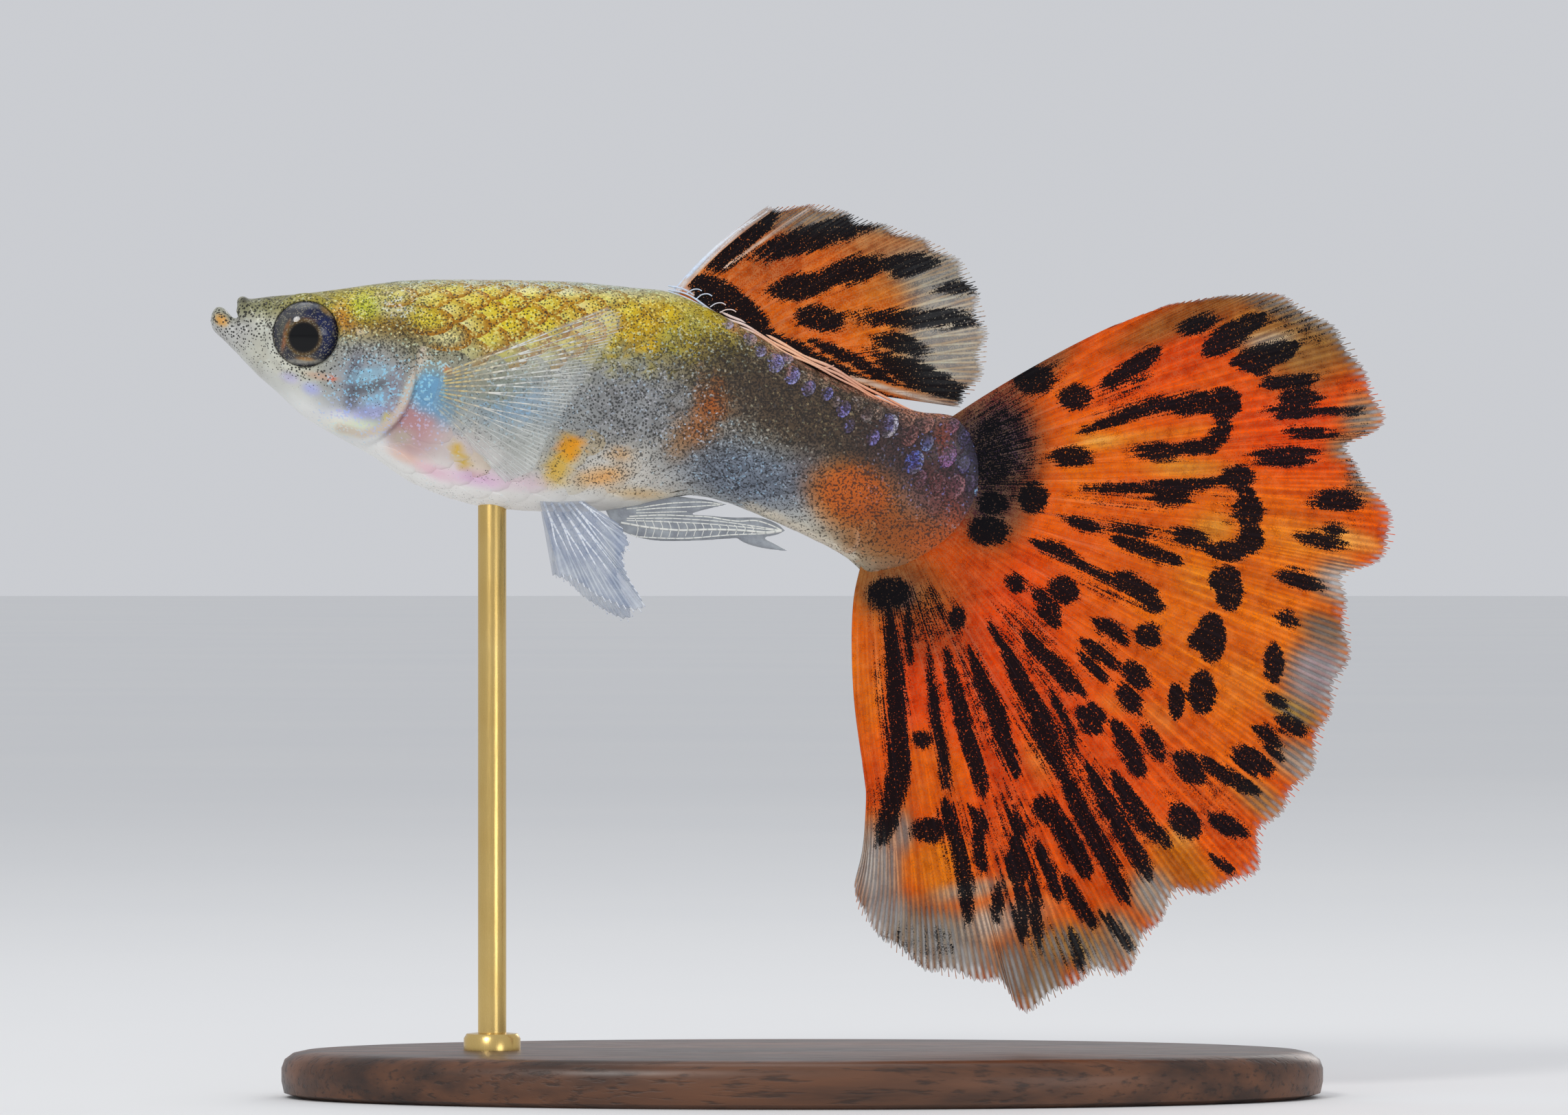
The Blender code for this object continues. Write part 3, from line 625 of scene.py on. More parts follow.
# %% Washes of the body
# x, y, length, height, tilt in degrees (down to the right), softness, colour, strength
BODY_WASHES = (
    (900, 720, 1000, 90, 2, 0.8, (236, 236, 230), 0.9), (690, 720, 360, 90, 8, 0.6, (252, 251, 247), 1.0),
    (415, 560, 230, 110, 40, 0.6, (226, 229, 226), 1.0), (520, 640, 220, 60, 26, 0.7, (246, 246, 242), 1.0),
    (395, 500, 150, 120, 20, 0.7, (198, 198, 188), 1.0), (378, 492, 40, 80, 10, 0.8, (208, 210, 194), 0.6),
    (430, 545, 120, 30, 30, 0.7, (222, 222, 204), 0.7), (330, 475, 74, 64, 30, 0.6, (192, 192, 188), 0.95),
    (357, 444, 34, 26, 0, 0.6, (156, 152, 130), 0.8), (430, 436, 230, 40, -9, 0.7, (132, 132, 96), 0.95),
    (560, 426, 220, 44, -3, 0.7, (156, 156, 96), 0.9), (520, 414, 260, 14, -4, 0.7, (92, 88, 56), 0.6),
    (475, 540, 70, 70, 0, 0.8, (182, 182, 160), 0.9), (780, 462, 600, 110, 2, 0.45, (222, 186, 8), 0.95),
    (960, 482, 190, 110, 10, 0.6, (218, 184, 6), 0.9), (846, 470, 40, 44, 0, 0.8, (200, 132, 18), 0.6),
    (892, 452, 30, 50, 0, 0.8, (226, 216, 150), 0.6), (914, 500, 34, 40, 0, 0.8, (192, 132, 22), 0.5),
    (948, 466, 36, 50, 0, 0.8, (206, 150, 24), 0.55), (976, 500, 28, 44, 0, 0.8, (170, 176, 90), 0.6),
    (1008, 474, 30, 40, 0, 0.8, (150, 156, 110), 0.6), (506, 466, 44, 40, 0, 0.7, (204, 136, 34), 0.9),
    (534, 450, 52, 44, 0, 0.6, (196, 200, 50), 0.95), (578, 446, 60, 56, 0, 0.6, (196, 192, 156), 0.85),
    (614, 448, 40, 44, 0, 0.7, (196, 186, 70), 0.6), (596, 486, 150, 40, 4, 0.7, (126, 92, 20), 0.95),
    (660, 478, 80, 46, 0, 0.7, (172, 140, 24), 0.7), (585, 520, 130, 54, 0, 0.7, (146, 142, 130), 0.9),
    (655, 514, 60, 50, 0, 0.8, (118, 112, 96), 0.8), (790, 522, 480, 50, 3, 0.8, (150, 144, 90), 0.5),
    (760, 414, 540, 20, 1, 0.8, (206, 214, 196), 0.8), (905, 426, 260, 26, 4, 0.8, (190, 196, 190), 0.6),
    (760, 590, 260, 130, 0, 0.8, (184, 190, 190), 0.9), (750, 594, 100, 50, 0, 0.7, (108, 160, 206), 0.8),
    (720, 560, 90, 60, 0, 0.8, (150, 150, 110), 0.6), (935, 600, 230, 130, 0, 0.7, (144, 146, 148), 0.95),
    (880, 690, 220, 80, 0, 0.8, (212, 208, 200), 0.8), (1065, 516, 80, 60, 10, 0.8, (106, 98, 50), 0.9),
    (1190, 606, 400, 130, 22, 0.5, (78, 60, 42), 0.95), (1040, 640, 120, 60, 0, 0.9, (136, 128, 118), 0.6),
    (1088, 694, 210, 90, 12, 0.6, (108, 119, 136), 0.95), (1180, 690, 60, 70, 0, 0.8, (88, 76, 80), 0.6),
    (1244, 722, 130, 92, 10, 0.45, (204, 90, 0), 0.95), (1320, 782, 190, 90, 12, 0.7, (152, 70, 8), 0.9),
    (1330, 655, 150, 110, 20, 0.8, (62, 38, 42), 0.85), (1385, 720, 120, 90, 0, 0.8, (90, 38, 38), 0.85),
    (1376, 640, 28, 50, 0, 0.7, (184, 62, 24), 0.7), (1400, 760, 50, 60, 0, 0.8, (176, 62, 22), 0.6),
    (1445, 658, 120, 150, 0, 0.6, (40, 34, 60), 0.95), (1440, 740, 70, 90, 0, 0.8, (54, 40, 56), 0.8),
    (1400, 830, 130, 90, 30, 0.8, (216, 88, 16), 0.85), (1312, 846, 90, 50, 0, 0.8, (124, 78, 52), 0.7),
    (1034, 590, 40, 66, 16, 0.8, (176, 84, 14), 0.9), (1010, 628, 44, 46, 24, 0.8, (172, 92, 30), 0.8),
    (985, 652, 32, 40, 0, 0.8, (180, 122, 66), 0.6), (829, 655, 34, 42, 20, 0.35, (250, 160, 4), 1.0),
    (810, 686, 32, 46, 24, 0.6, (246, 190, 50), 0.9), (874, 697, 62, 24, -8, 0.8, (250, 178, 96), 0.85),
    (902, 664, 30, 20, 0, 0.9, (240, 176, 104), 0.7), (932, 722, 70, 14, 4, 0.9, (246, 200, 130), 0.7),
    (532, 566, 124, 124, 0, 0.6, (156, 160, 168), 0.95), (514, 560, 22, 84, 8, 0.6, (96, 98, 112), 0.7),
    (540, 566, 60, 18, -16, 0.6, (92, 96, 104), 0.7), (536, 548, 60, 20, -14, 0.7, (150, 192, 214), 0.8),
    (552, 584, 50, 22, -22, 0.7, (146, 188, 216), 0.8), (540, 604, 70, 22, -6, 0.7, (168, 172, 220), 0.75),
    (496, 612, 50, 24, 10, 0.8, (236, 240, 250), 0.85), (572, 570, 22, 60, 16, 0.7, (150, 146, 160), 0.7),
    (506, 624, 72, 22, 14, 0.6, (246, 244, 226), 0.9), (564, 611, 14, 16, 0, 0.6, (226, 216, 110), 0.7),
    (524, 624, 60, 20, -4, 0.8, (226, 236, 206), 0.8), (606, 626, 76, 84, 26, 0.5, (184, 136, 142), 0.9),
    (618, 620, 50, 40, 0, 0.7, (178, 122, 122), 0.7), (628, 574, 58, 66, 6, 0.4, (108, 160, 198), 0.95),
    (647, 606, 28, 46, 10, 0.5, (110, 160, 196), 0.9), (586, 640, 30, 26, 0, 0.7, (192, 188, 166), 0.7),
    (588, 668, 44, 14, 24, 0.8, (246, 200, 176), 0.7), (634, 690, 56, 18, 22, 0.8, (246, 190, 214), 0.7),
    (676, 660, 120, 60, 24, 0.8, (226, 210, 208), 0.8), (666, 658, 20, 20, 0, 0.5, (226, 178, 40), 0.85),
    (674, 674, 16, 24, 0, 0.6, (222, 180, 60), 0.8), (694, 700, 62, 20, 12, 0.8, (236, 184, 228), 0.75),
    (760, 706, 70, 22, 4, 0.8, (240, 206, 222), 0.6), (422, 553, 26, 14, 20, 0.8, (196, 192, 226), 0.8),
    (453, 569, 26, 16, 20, 0.8, (176, 182, 236), 0.8), (468, 551, 44, 10, 10, 0.8, (222, 170, 140), 0.6),
    (483, 554, 12, 8, 0, 0.6, (226, 110, 80), 0.7), (322, 469, 20, 15, 40, 0.6, (226, 158, 66), 0.85),
    (356, 440, 12, 9, 0, 0.6, (60, 58, 44), 0.7), (651, 542, 14, 10, 0, 0.5, (240, 126, 40), 0.9),
)
# lines of colour: width, softness, colour, strength, points
BODY_LINES = (
    (12, 0.7, (216, 200, 182), 0.85, ((616, 513), (607, 540), (596, 564), (586, 592), (571, 615),
        (550, 629), (527, 635), (494, 626))),
    (16, 0.8, (238, 228, 208), 0.9, ((1090, 742), (1130, 757), (1180, 782), (1240, 812))),
    (12, 0.9, (226, 150, 120), 0.8, ((1064, 465), (1090, 481), (1180, 538), (1260, 574), (1330, 604),
        (1380, 606))),
    (10, 0.9, (70, 66, 40), 0.6, ((372, 430), (420, 424), (500, 414), (580, 408))),
)
BODY_GREY = (158, 156, 140)
FLANK_STREAKS = ((17.0, 11.0, 0.4), (11.3, 8.0, 2.1), (29.0, 10.0, 1.3))  # period, reach, phase


def oval_reach(pixels, x, y, length, height, tilt):
    """How far out of a tilted oval each pixel lies: 0 at its middle, 1 on its edge."""
    c, s = math.cos(math.radians(tilt)), math.sin(math.radians(tilt))
    dx, dy = pixels[..., 0] - x, pixels[..., 1] - y
    return np.hypot((dx * c + dy * s) / (length / 2), (dy * c - dx * s) / (height / 2))


def inside(reach, softness):
    """1 well inside an edge at 1, 0 well outside it."""
    return 1 - ease(1 - softness, 1 + softness, reach)


def toward(colour, tint, share):
    """Colours moved a share of the way to a tint."""
    return colour + (np.array(tint, float) - colour) * share


def lay_washes(start, pixels, washes, lines=()):
    """Glazes ovals and lines of colour over a plain colour or over what is there."""
    colour = np.zeros((*pixels.shape[:-1], np.shape(start)[-1])) + start
    for *oval, softness, tint, strength in washes:
        colour = toward(colour, tint, strength * inside(oval_reach(pixels, *oval), softness)[..., None])
    for width, softness, tint, strength, line in lines:
        away = distance_to(line, pixels)[0] / (width / 2)
        colour = toward(colour, tint, strength * inside(away, softness)[..., None])
    return colour


def to_light(colour):
    """Screen colours from 0 to 255 as light."""
    part = np.clip(colour / 255, 0.0, 1.0)
    return np.where(part > 0.04, ((part + 0.055) / 1.055) ** 2.4, part / 12.92)


def streaked(pixels):
    """The pixels moved up and down in narrow columns on the flank, which draws its colours into streaks."""
    x, y = pixels[..., 0], pixels[..., 1]
    flank = ease(640, 740, x) * (1 - ease(1180, 1280, x)) * ease(430, 480, y) * (1 - ease(600, 650, y))
    shift = sum(reach * np.sin(math.tau * (x + 0.1 * y) / period + phase)
                for period, reach, phase in FLANK_STREAKS)
    return np.stack((x, y + shift * flank), -1)


def paint_body(points):
    """The body's washes at (along, side, up) points, as screen colours."""
    return lay_washes(BODY_GREY, streaked(photo_of(points, mirrored=True)), BODY_WASHES, BODY_LINES)


print(len(BODY_WASHES), "washes on the body")

# %% [markdown]
# ## Where the dots and the glints are
# The black dots are pigment cells, big and sparse on the cheek, fine and dense on the dark flank,
# and almost none on the white belly. The glints are mirror cells, blue on the gill cover, pale gold
# on the back; their flash is painted into the colour as bright flecks, which are painted highlights.
# Three numbers at each point say how many dots and glints there are and how fine the dots are, and
# a second colour says what the mirrors reflect. The material scatters them.

# %% Dots and glints
# x, y, length, height, tilt, softness, (dots, glints, fineness), strength
FLECK_WASHES = (
    (430, 480, 280, 130, 0, 0.6, (1.0, 0.15, 0.05), 1.0),
    (356, 476, 150, 120, 20, 0.7, (1.10, 0.10, 0.0), 1.0),
    (470, 590, 260, 70, 35, 0.7, (0.16, 0.15, 0.0), 1.0),
    (452, 542, 120, 40, 16, 0.7, (1.05, 0.10, 0.0), 0.9),
    (560, 470, 260, 110, 0, 0.7, (0.90, 0.40, 0.60), 1.0),
    (596, 486, 150, 36, 4, 0.7, (0.95, 0.08, 0.90), 1.0),
    (590, 520, 140, 50, 0, 0.7, (1.0, 0.30, 0.40), 1.0),
    (542, 578, 120, 100, 0, 0.6, (0.50, 0.72, 0.10), 1.0),
    (510, 618, 90, 40, 10, 0.7, (0.10, 0.60, 0.0), 1.0),
    (632, 574, 76, 88, 8, 0.5, (0.22, 0.78, 0.10), 1.0),
    (612, 630, 90, 80, 20, 0.7, (0.12, 0.48, 0.05), 1.0),
    (690, 690, 260, 80, 10, 0.7, (0.12, 0.15, 0.05), 1.0),
    (720, 690, 110, 30, 4, 0.7, (0.75, 0.10, 0.0), 0.7),
    (790, 455, 520, 110, 2, 0.7, (0.92, 0.60, 0.16), 1.0),
    (770, 580, 220, 110, 0, 0.7, (0.40, 0.50, 0.30), 1.0),
    (930, 600, 240, 150, 0, 0.7, (1.0, 0.30, 0.25), 1.0),
    (880, 685, 200, 60, 0, 0.7, (0.80, 0.10, 0.35), 1.0),
    (860, 735, 240, 30, 2, 0.7, (0.20, 0.0, 0.10), 1.0),
    (1060, 540, 130, 90, 0, 0.7, (0.85, 0.55, 0.85), 1.0),
    (1190, 606, 420, 150, 22, 0.6, (0.90, 0.22, 1.0), 1.0),
    (1060, 640, 120, 60, 0, 0.7, (0.80, 0.35, 0.90), 1.0),
    (1088, 700, 200, 80, 12, 0.7, (0.60, 0.35, 0.75), 1.0),
    (1260, 730, 200, 120, 10, 0.7, (0.50, 0.04, 0.80), 1.0),
    (1370, 680, 200, 180, 0, 0.7, (0.75, 0.22, 0.90), 1.0),
    (760, 412, 560, 16, 1, 0.8, (0.50, 0.90, 0.5), 0.8),
    (829, 665, 40, 70, 20, 0.5, (0.25, 0.00, 0.3), 1.0),
    (1160, 765, 110, 20, 22, 0.7, (0.30, 0.10, 0.4), 0.8),
)
# x, y, length, height, tilt, softness, mirror colour, strength
MIRROR_WASHES = (
    (780, 455, 640, 120, 2, 0.6, (255, 240, 132), 1.0), (760, 414, 560, 24, 1, 0.7, (222, 236, 240), 1.0),
    (578, 446, 60, 56, 0, 0.7, (240, 236, 236), 1.0), (540, 570, 140, 120, 0, 0.6, (160, 222, 255), 1.0),
    (516, 612, 110, 50, 10, 0.6, (190, 196, 255), 1.0), (500, 622, 70, 20, 10, 0.7, (250, 250, 236), 0.9),
    (630, 576, 90, 104, 8, 0.6, (170, 230, 255), 1.0), (606, 636, 90, 80, 20, 0.7, (216, 200, 236), 1.0),
    (750, 594, 120, 70, 0, 0.7, (150, 206, 255), 1.0), (1010, 530, 200, 90, 6, 0.7, (200, 222, 236), 1.0),
    (1180, 600, 360, 110, 22, 0.7, (176, 160, 120), 1.0),
    (1088, 694, 220, 100, 12, 0.7, (176, 200, 226), 1.0),
    (1370, 680, 200, 180, 0, 0.7, (120, 130, 226), 0.9),
    (1310, 810, 260, 120, 10, 0.7, (206, 130, 84), 1.0), (935, 600, 230, 130, 0, 0.7, (200, 206, 226), 0.9),
)
PALE_MIRROR, FEW_FLECKS = (232, 236, 236), (0.25, 0.2, 0.4)


def mirrors_and_flecks(points):
    """The colour that the glints reflect and (dots, glints, fineness), at (along, side, up) points."""
    pixels = photo_of(points, mirrored=True)
    return (lay_washes(PALE_MIRROR, pixels, MIRROR_WASHES), lay_washes(FEW_FLECKS, pixels, FLECK_WASHES))


def store_looks(obj, paint, mirror, flecks):
    store(obj, "paint", to_light(paint))
    store(obj, "mirror", to_light(mirror))
    store(obj, "flecks", flecks)


# %% [markdown]
# ## Wet skin
# Real fish skin is a clear film over pigment. A Principled shader with a thin coat gives the wet
# highlight, and the pigment below stays rough. The coarse dots are Voronoi cells cut off at a
# radius that grows with the dot number, so more dots also means bigger dots, as in life. The fine
# ones are noise cut off at one level.

# %% The skin's finish
DOT_MM = 0.125
FINE_DOT_MM = 0.092
GLINT_MM = 0.085


def dotted(look, paint, dots, glints, fineness):
    """Pigment dots and mirror glints over the painted colour; also gives the dots' mask."""
    mottle = look.noise(0.9, 4.0)
    depth = 0.08 + dots.ease(0.1, 0.6) * 0.37
    tone = look.mix(mottle.ease(0.35, 0.7) * depth, paint, look.tinted(paint, (0.62, 0.58, 0.55)))
    # painted highlights: bright flecks in the mirrors' colour, for the flash of the mirror cells
    spark = look.cells(GLINT_MM, "Color")
    pick = look.channel(spark, "Red")
    tint = look.mix(look.channel(spark, "Green").ease(0.3, 0.7), (1.0, 0.92, 0.84), (0.84, 0.97, 1.0))
    light = look.tinted(look.mix(0.25, look.attribute("mirror", "Color"), paint), tint)
    lit = look.mix((pick + glints * 0.50).ease(0.98, 1.15) * 0.85, tone, light)
    patchy = look.noise(0.35, 2.0).ease(0.28, 0.55) * 0.4 + 0.6
    coarse = 1 - (look.cells(DOT_MM) - dots * 0.42 * patchy).ease(-0.05, 0.05)
    worm = look.noise(FINE_DOT_MM, 1.0)
    fine = (worm + fineness * 0.17 - 0.14 + dots * 0.05).ease(0.53, 0.60) * fineness.ease(0.05, 0.35)
    mask = (coarse * (1 - fineness * 0.6)).math("MAXIMUM", fine * 0.85) * dots.ease(0.02, 0.12)
    ink = look.mix(fineness, (0.008, 0.008, 0.007), (0.010, 0.007, 0.007))
    return look.mix(mask * 0.92, lit, ink), mask, pick


def skin_finish(name, relief_mm):
    """Painted skin with its dots and glints under a thin wet coat."""
    look = Finish(name, Coat_Weight=0.22, Coat_Roughness=0.14, Specular_IOR_Level=0.25)
    paint = look.attribute("paint", "Color")
    dots = look.node("ShaderNodeSeparateXYZ", {0: look.attribute("flecks", "Vector")})
    glints = dots.out("Y")
    colour, mask, pick = dotted(look, paint, dots, glints, dots.out("Z"))
    look.feed("Base Color", colour)
    look.feed("Metallic", glints * 0.22)
    look.feed("Roughness", 0.34 + look.noise(0.4) * 0.18 + mask * 0.12)
    look.bump(look.noise(0.25, 4.0) + pick * 0.15 - mask * 0.2, relief_mm, 0.6)
    return look.material


skin_material = skin_finish("wet skin", 0.015)
points = points_of(skin)
store_looks(skin, paint_body(points), *mirrors_and_flecks(points))
SKIN_TREE = surface_of(skin)
placed(skin, "torso", skin_material, "head", "lower_jaw", "torso", "tail_stem")

# %% [markdown]
# ## Scales
# The scales overlap like roof tiles and grow smaller with the body's height towards the tail. One
# plate is modelled once, closed, with its rear edge raised a few hundredths of a millimetre, and
# Geometry Nodes sets a copy on every seat of a brick pattern worked out from the ribs. Each copy is
# then bent onto the skin, because a stiff plate would lift at its corners on such a small body.

# %% One scale
PLATE_RINGS = ((0.45, 1.0), (0.80, 1.0), (0.95, 0.95), (1.0, 0.25))  # share of the radius, share of the lift
PLATE_SIDES = 14
SCALE_LIFT_MM = 0.028


def make_plate():
    """A unit scale: x from its root to its rear edge, y across, z its lift."""
    points, rim = [(0.0, 0.0, 0.5)], [0.0]
    for radius, share in PLATE_RINGS:
        for k in range(PLATE_SIDES):
            turn = math.tau * k / PLATE_SIDES
            x, y = radius * math.cos(turn), radius * math.sin(turn)
            lift = share * ((x + 1.3) / 2.3) ** 1.2 - 0.1 * (1 - radius)
            points.append((x, y * (1.0 - 0.12 * max(0.0, -x)), lift))
            rim.append(radius)
    points += [(x, y, -0.8) for x, y, z in points[-PLATE_SIDES:]]
    rim += [1.0] * PLATE_SIDES
    last = len(points) - 1
    faces = [[0, 1 + k, 1 + (k + 1) % PLATE_SIDES] for k in range(PLATE_SIDES)]
    walls = grid_faces(len(PLATE_RINGS) + 1, PLATE_SIDES, closed=True)
    faces += (np.roll(walls[:, ::-1], 1, axis=1) + 1).tolist()
    faces.append(list(range(last, last - PLATE_SIDES, -1)))
    plate = bpy.data.objects.new("one_scale", bpy.data.meshes.new("one_scale"))
    plate.data.from_pydata(points, [], faces)
    store(plate, "local", np.array(points))
    store(plate, "rim", np.array(rim))
    return plate


plate = make_plate()
print("one scale has", len(plate.data.polygons), "faces")

# %% Seats of the scales
SCALE_ROWS = 10
SCALES_FROM, SCALES_TO = 7.2, 32.2
COLUMN_SHARE = 0.084  # spacing of the columns as a share of the body's height there
SCALE_LENGTH, SCALE_WIDTH = 1.60, 0.60  # half a scale, as shares of the spacing of columns and rows
BARE_RADIUS, BARE_BELOW, BARE_UP_TO = GILL_RADIUS + 0.85, 0.7, 6.6


def scale_seats():
    """(point, size, backward direction, share along, turn, 0) of every ordinary scale on both flanks."""
    ribs = np.linspace(0, len(BODY_RIBS) - 1, 800)
    backs, bellies = (curve_at([rib[edge] for rib in BODY_RIBS], ribs) for edge in (0, 1))
    middle = (backs[:, 0] + bellies[:, 0]) / 2
    heights = np.linalg.norm(backs - bellies, axis=1)
    turns = np.linspace(0.0, math.pi, 200)
    seats, reach, column = [], SCALES_FROM, 0
    while reach < SCALES_TO:
        where = np.interp(reach, middle, ribs)
        column_step = np.interp(where, ribs, heights) * COLUMN_SHARE
        length = travelled(body_form(np.full(len(turns), where), turns))
        row_step = length[-1] / SCALE_ROWS
        for row in range(SCALE_ROWS):
            share = (row + 0.25 + 0.5 * (column % 2)) / SCALE_ROWS
            turn = np.interp(share * length[-1], length, turns)
            for side in (-1, 1):
                here, behind = body_form(np.array([where, where + 0.1]), np.full(2, side * turn))
                size = (column_step * SCALE_LENGTH, row_step * SCALE_WIDTH)
                seats.append((here, size, behind - here, reach / SCALES_TO, side * turn, 0))
        reach += column_step
        column += 1
    return seats


def has_scale(seat):
    """The gill cover and the head in front of the nape are bare skin."""
    along, _, up = seat[0]
    covered = math.hypot(along - GILL_CENTRE[0], up - GILL_CENTRE[1]) < BARE_RADIUS and up < BARE_BELOW
    return not covered and along > BARE_UP_TO


seats = [seat for seat in scale_seats() if has_scale(seat)]
print(len(seats), "scales")

# %% Geometry Nodes for the scales
SIZE_VARIATION, SIZE_SEED = 0.06, 7


def group_with(name, inputs):
    """An empty Geometry Nodes tree with named inputs (name, type, value)."""
    tree = bpy.data.node_groups.new(name, "GeometryNodeTree")
    tree.interface.new_socket("Geometry", in_out="INPUT", socket_type="NodeSocketGeometry")
    for label, kind, value in inputs:
        socket = tree.interface.new_socket(label, in_out="INPUT", socket_type=kind)
        if value is not None:
            socket.default_value = value
    tree.interface.new_socket("Geometry", in_out="OUTPUT", socket_type="NodeSocketGeometry")
    return tree, Net(tree)


def close_group(net, geometry, material):
    """Ends a tree in real geometry with its material."""
    real = net.node("GeometryNodeRealizeInstances", {"Geometry": geometry})
    dressed = net.node("GeometryNodeSetMaterial", {"Geometry": real, "Material": material})
    end = net.tree.nodes.new("NodeGroupOutput")
    net.tree.links.new(dressed.socket, end.inputs[0])


def grown_by(obj, tree, **values):
    """Runs a tree on an object with the given named inputs and keeps the result as a plain mesh."""
    modifier = obj.modifiers.new(tree.name, "NODES")
    modifier.node_group = tree
    for item in tree.interface.items_tree:
        if item.in_out == "INPUT" and item.name in values:
            modifier[item.identifier] = values[item.name]
    return applied(obj)


def named(net, name, kind="FLOAT_VECTOR"):
    """Reads an attribute that is kept on the points."""
    return net.node("GeometryNodeInputNamedAttribute", {"Name": name}, data_type=kind)


def scales_tree(material):
    """Sets a plate on every point, turned and sized by what the point carries."""
    tree, net = group_with("scales on seats", (("Plate", "NodeSocketObject", None),
                                               ("Size", "NodeSocketFloat", 1.0),
                                               ("Variation", "NodeSocketFloat", SIZE_VARIATION),
                                               ("Seed", "NodeSocketInt", SIZE_SEED)))
    given = net.node("NodeGroupInput")
    turn = net.node("FunctionNodeAxesToRotation", {"Primary Axis": named(net, "normal_up"),
                                                   "Secondary Axis": named(net, "backward")},
                    primary_axis="Z", secondary_axis="X")
    spread = given.out("Variation")
    chance = net.node("FunctionNodeRandomValue", {2: spread * -1.0, 3: spread, "Seed": given.out("Seed")}, 1,
                      data_type="FLOAT")
    factor = (chance + 1.0) * given.out("Size")
    scaled = net.node("ShaderNodeVectorMath", {0: named(net, "size"), "Scale": factor}, operation="SCALE")
    copies = net.node("GeometryNodeInstanceOnPoints", {
        "Points": net.node("GeometryNodeMeshToPoints", {"Mesh": given.out("Geometry")}),
        "Instance": net.node("GeometryNodeObjectInfo", {"Object": given.out("Plate")}, "Geometry"),
        "Rotation": turn, "Scale": scaled})
    close_group(net, copies, material)
    return tree


# %% [markdown]
# ## Rims, cores and the few big bright scales
# On the golden flank each scale has a pale dotted middle and an amber border; further back single
# scales flash violet, blue or white. Each of those has its own place and colours in a table, and
# the ordinary scales follow the washes under them.

# %% Colouring the scales
# zones of ordinary scales: x, y, length, height, tilt, softness, (rim share, core share), strength
RIM_ZONES = (
    (740, 468, 480, 130, 3, 0.45, (0.95, 0.85), 1.0), (950, 478, 230, 110, 6, 0.7, (0.62, 0.60), 1.0),
    (868, 534, 110, 60, 0, 0.6, (0.28, 0.30), 1.0), (1000, 520, 200, 120, 10, 0.7, (0.45, 0.30), 1.0),
    (930, 610, 240, 120, 0, 0.7, (0.35, 0.35), 1.0), (1090, 690, 230, 110, 12, 0.7, (0.35, 0.35), 1.0),
    (1200, 600, 330, 120, 22, 0.7, (0.30, 0.12), 1.0), (750, 700, 520, 80, 3, 0.7, (0.08, 0.0), 1.0),
)
FLANK_MM = 1.2  # the bright scales lie about this far from the middle plane
AMBER, CREAM, YELLOW = (172, 112, 6), (240, 236, 196), (226, 208, 40)
# x, y, width, core colour, rim colour, strength
BRIGHT_SCALES = (
    (1059, 474, 20, (176, 166, 226), (206, 206, 240), 0.8),
    (1092, 496, 23, (150, 140, 222), (226, 226, 246), 0.9),
    (1107, 513, 20, (140, 130, 222), (190, 190, 236), 0.8),
    (1129, 531, 27, (126, 116, 224), (196, 196, 240), 0.95),
    (1146, 524, 20, (160, 150, 226), (226, 220, 240), 0.8),
    (1153, 549, 24, (128, 120, 228), (180, 180, 236), 0.9),
    (1177, 568, 21, (124, 116, 226), (170, 170, 232), 0.9),
    (1171, 551, 18, (196, 176, 160), (226, 206, 170), 0.6),
    (1204, 576, 18, (112, 104, 216), (150, 150, 220), 0.9),
    (1200, 560, 18, (186, 160, 130), (220, 200, 170), 0.6),
    (1228, 598, 22, (104, 92, 206), (146, 140, 210), 0.85),
    (1216, 588, 16, (150, 130, 160), (190, 176, 190), 0.6),
    (1236, 623, 18, (90, 84, 186), (120, 112, 190), 0.6),
    (1271, 640, 21, (112, 102, 206), (140, 130, 204), 0.85),
    (1248, 590, 22, (150, 126, 120), (214, 196, 170), 0.6),
    (1262, 606, 22, (130, 106, 120), (206, 196, 190), 0.6),
    (1293, 622, 33, (92, 84, 156), (232, 230, 240), 0.95),
    (1280, 604, 18, (196, 160, 140), (232, 220, 206), 0.7),
    (1324, 636, 26, (112, 56, 56), (170, 110, 104), 0.8),
    (1321, 612, 26, (196, 124, 96), (216, 156, 130), 0.85),
    (1350, 648, 20, (96, 124, 226), (160, 186, 240), 0.95),
    (1348, 620, 24, (150, 82, 76), (190, 130, 116), 0.8),
    (1331, 676, 30, (58, 74, 206), (196, 206, 246), 1.0),
    (1380, 667, 27, (126, 72, 150), (176, 116, 176), 0.9),
    (1391, 712, 30, (132, 70, 84), (186, 126, 130), 0.8),
    (1366, 706, 24, (112, 56, 66), (176, 116, 126), 0.7),
    (1387, 621, 22, (120, 62, 96), (170, 106, 126), 0.8),
    (1404, 640, 22, (70, 54, 120), (104, 88, 150), 0.6),
    (1404, 678, 22, (76, 64, 140), (108, 98, 170), 0.6), (1411, 706, 22, (66, 48, 96), (104, 84, 130), 0.5),
    (1425, 718, 14, (110, 160, 216), (130, 180, 226), 0.8),
    (1428, 736, 14, (120, 170, 216), (130, 176, 216), 0.7),
    (1340, 700, 20, (104, 62, 96), (140, 90, 120), 0.6),
    (1360, 738, 24, (116, 62, 60), (160, 100, 96), 0.6),
    (1236, 790, 34, (150, 84, 30), (216, 170, 140), 0.5),
    (1262, 776, 30, (160, 92, 40), (206, 160, 130), 0.4),
)


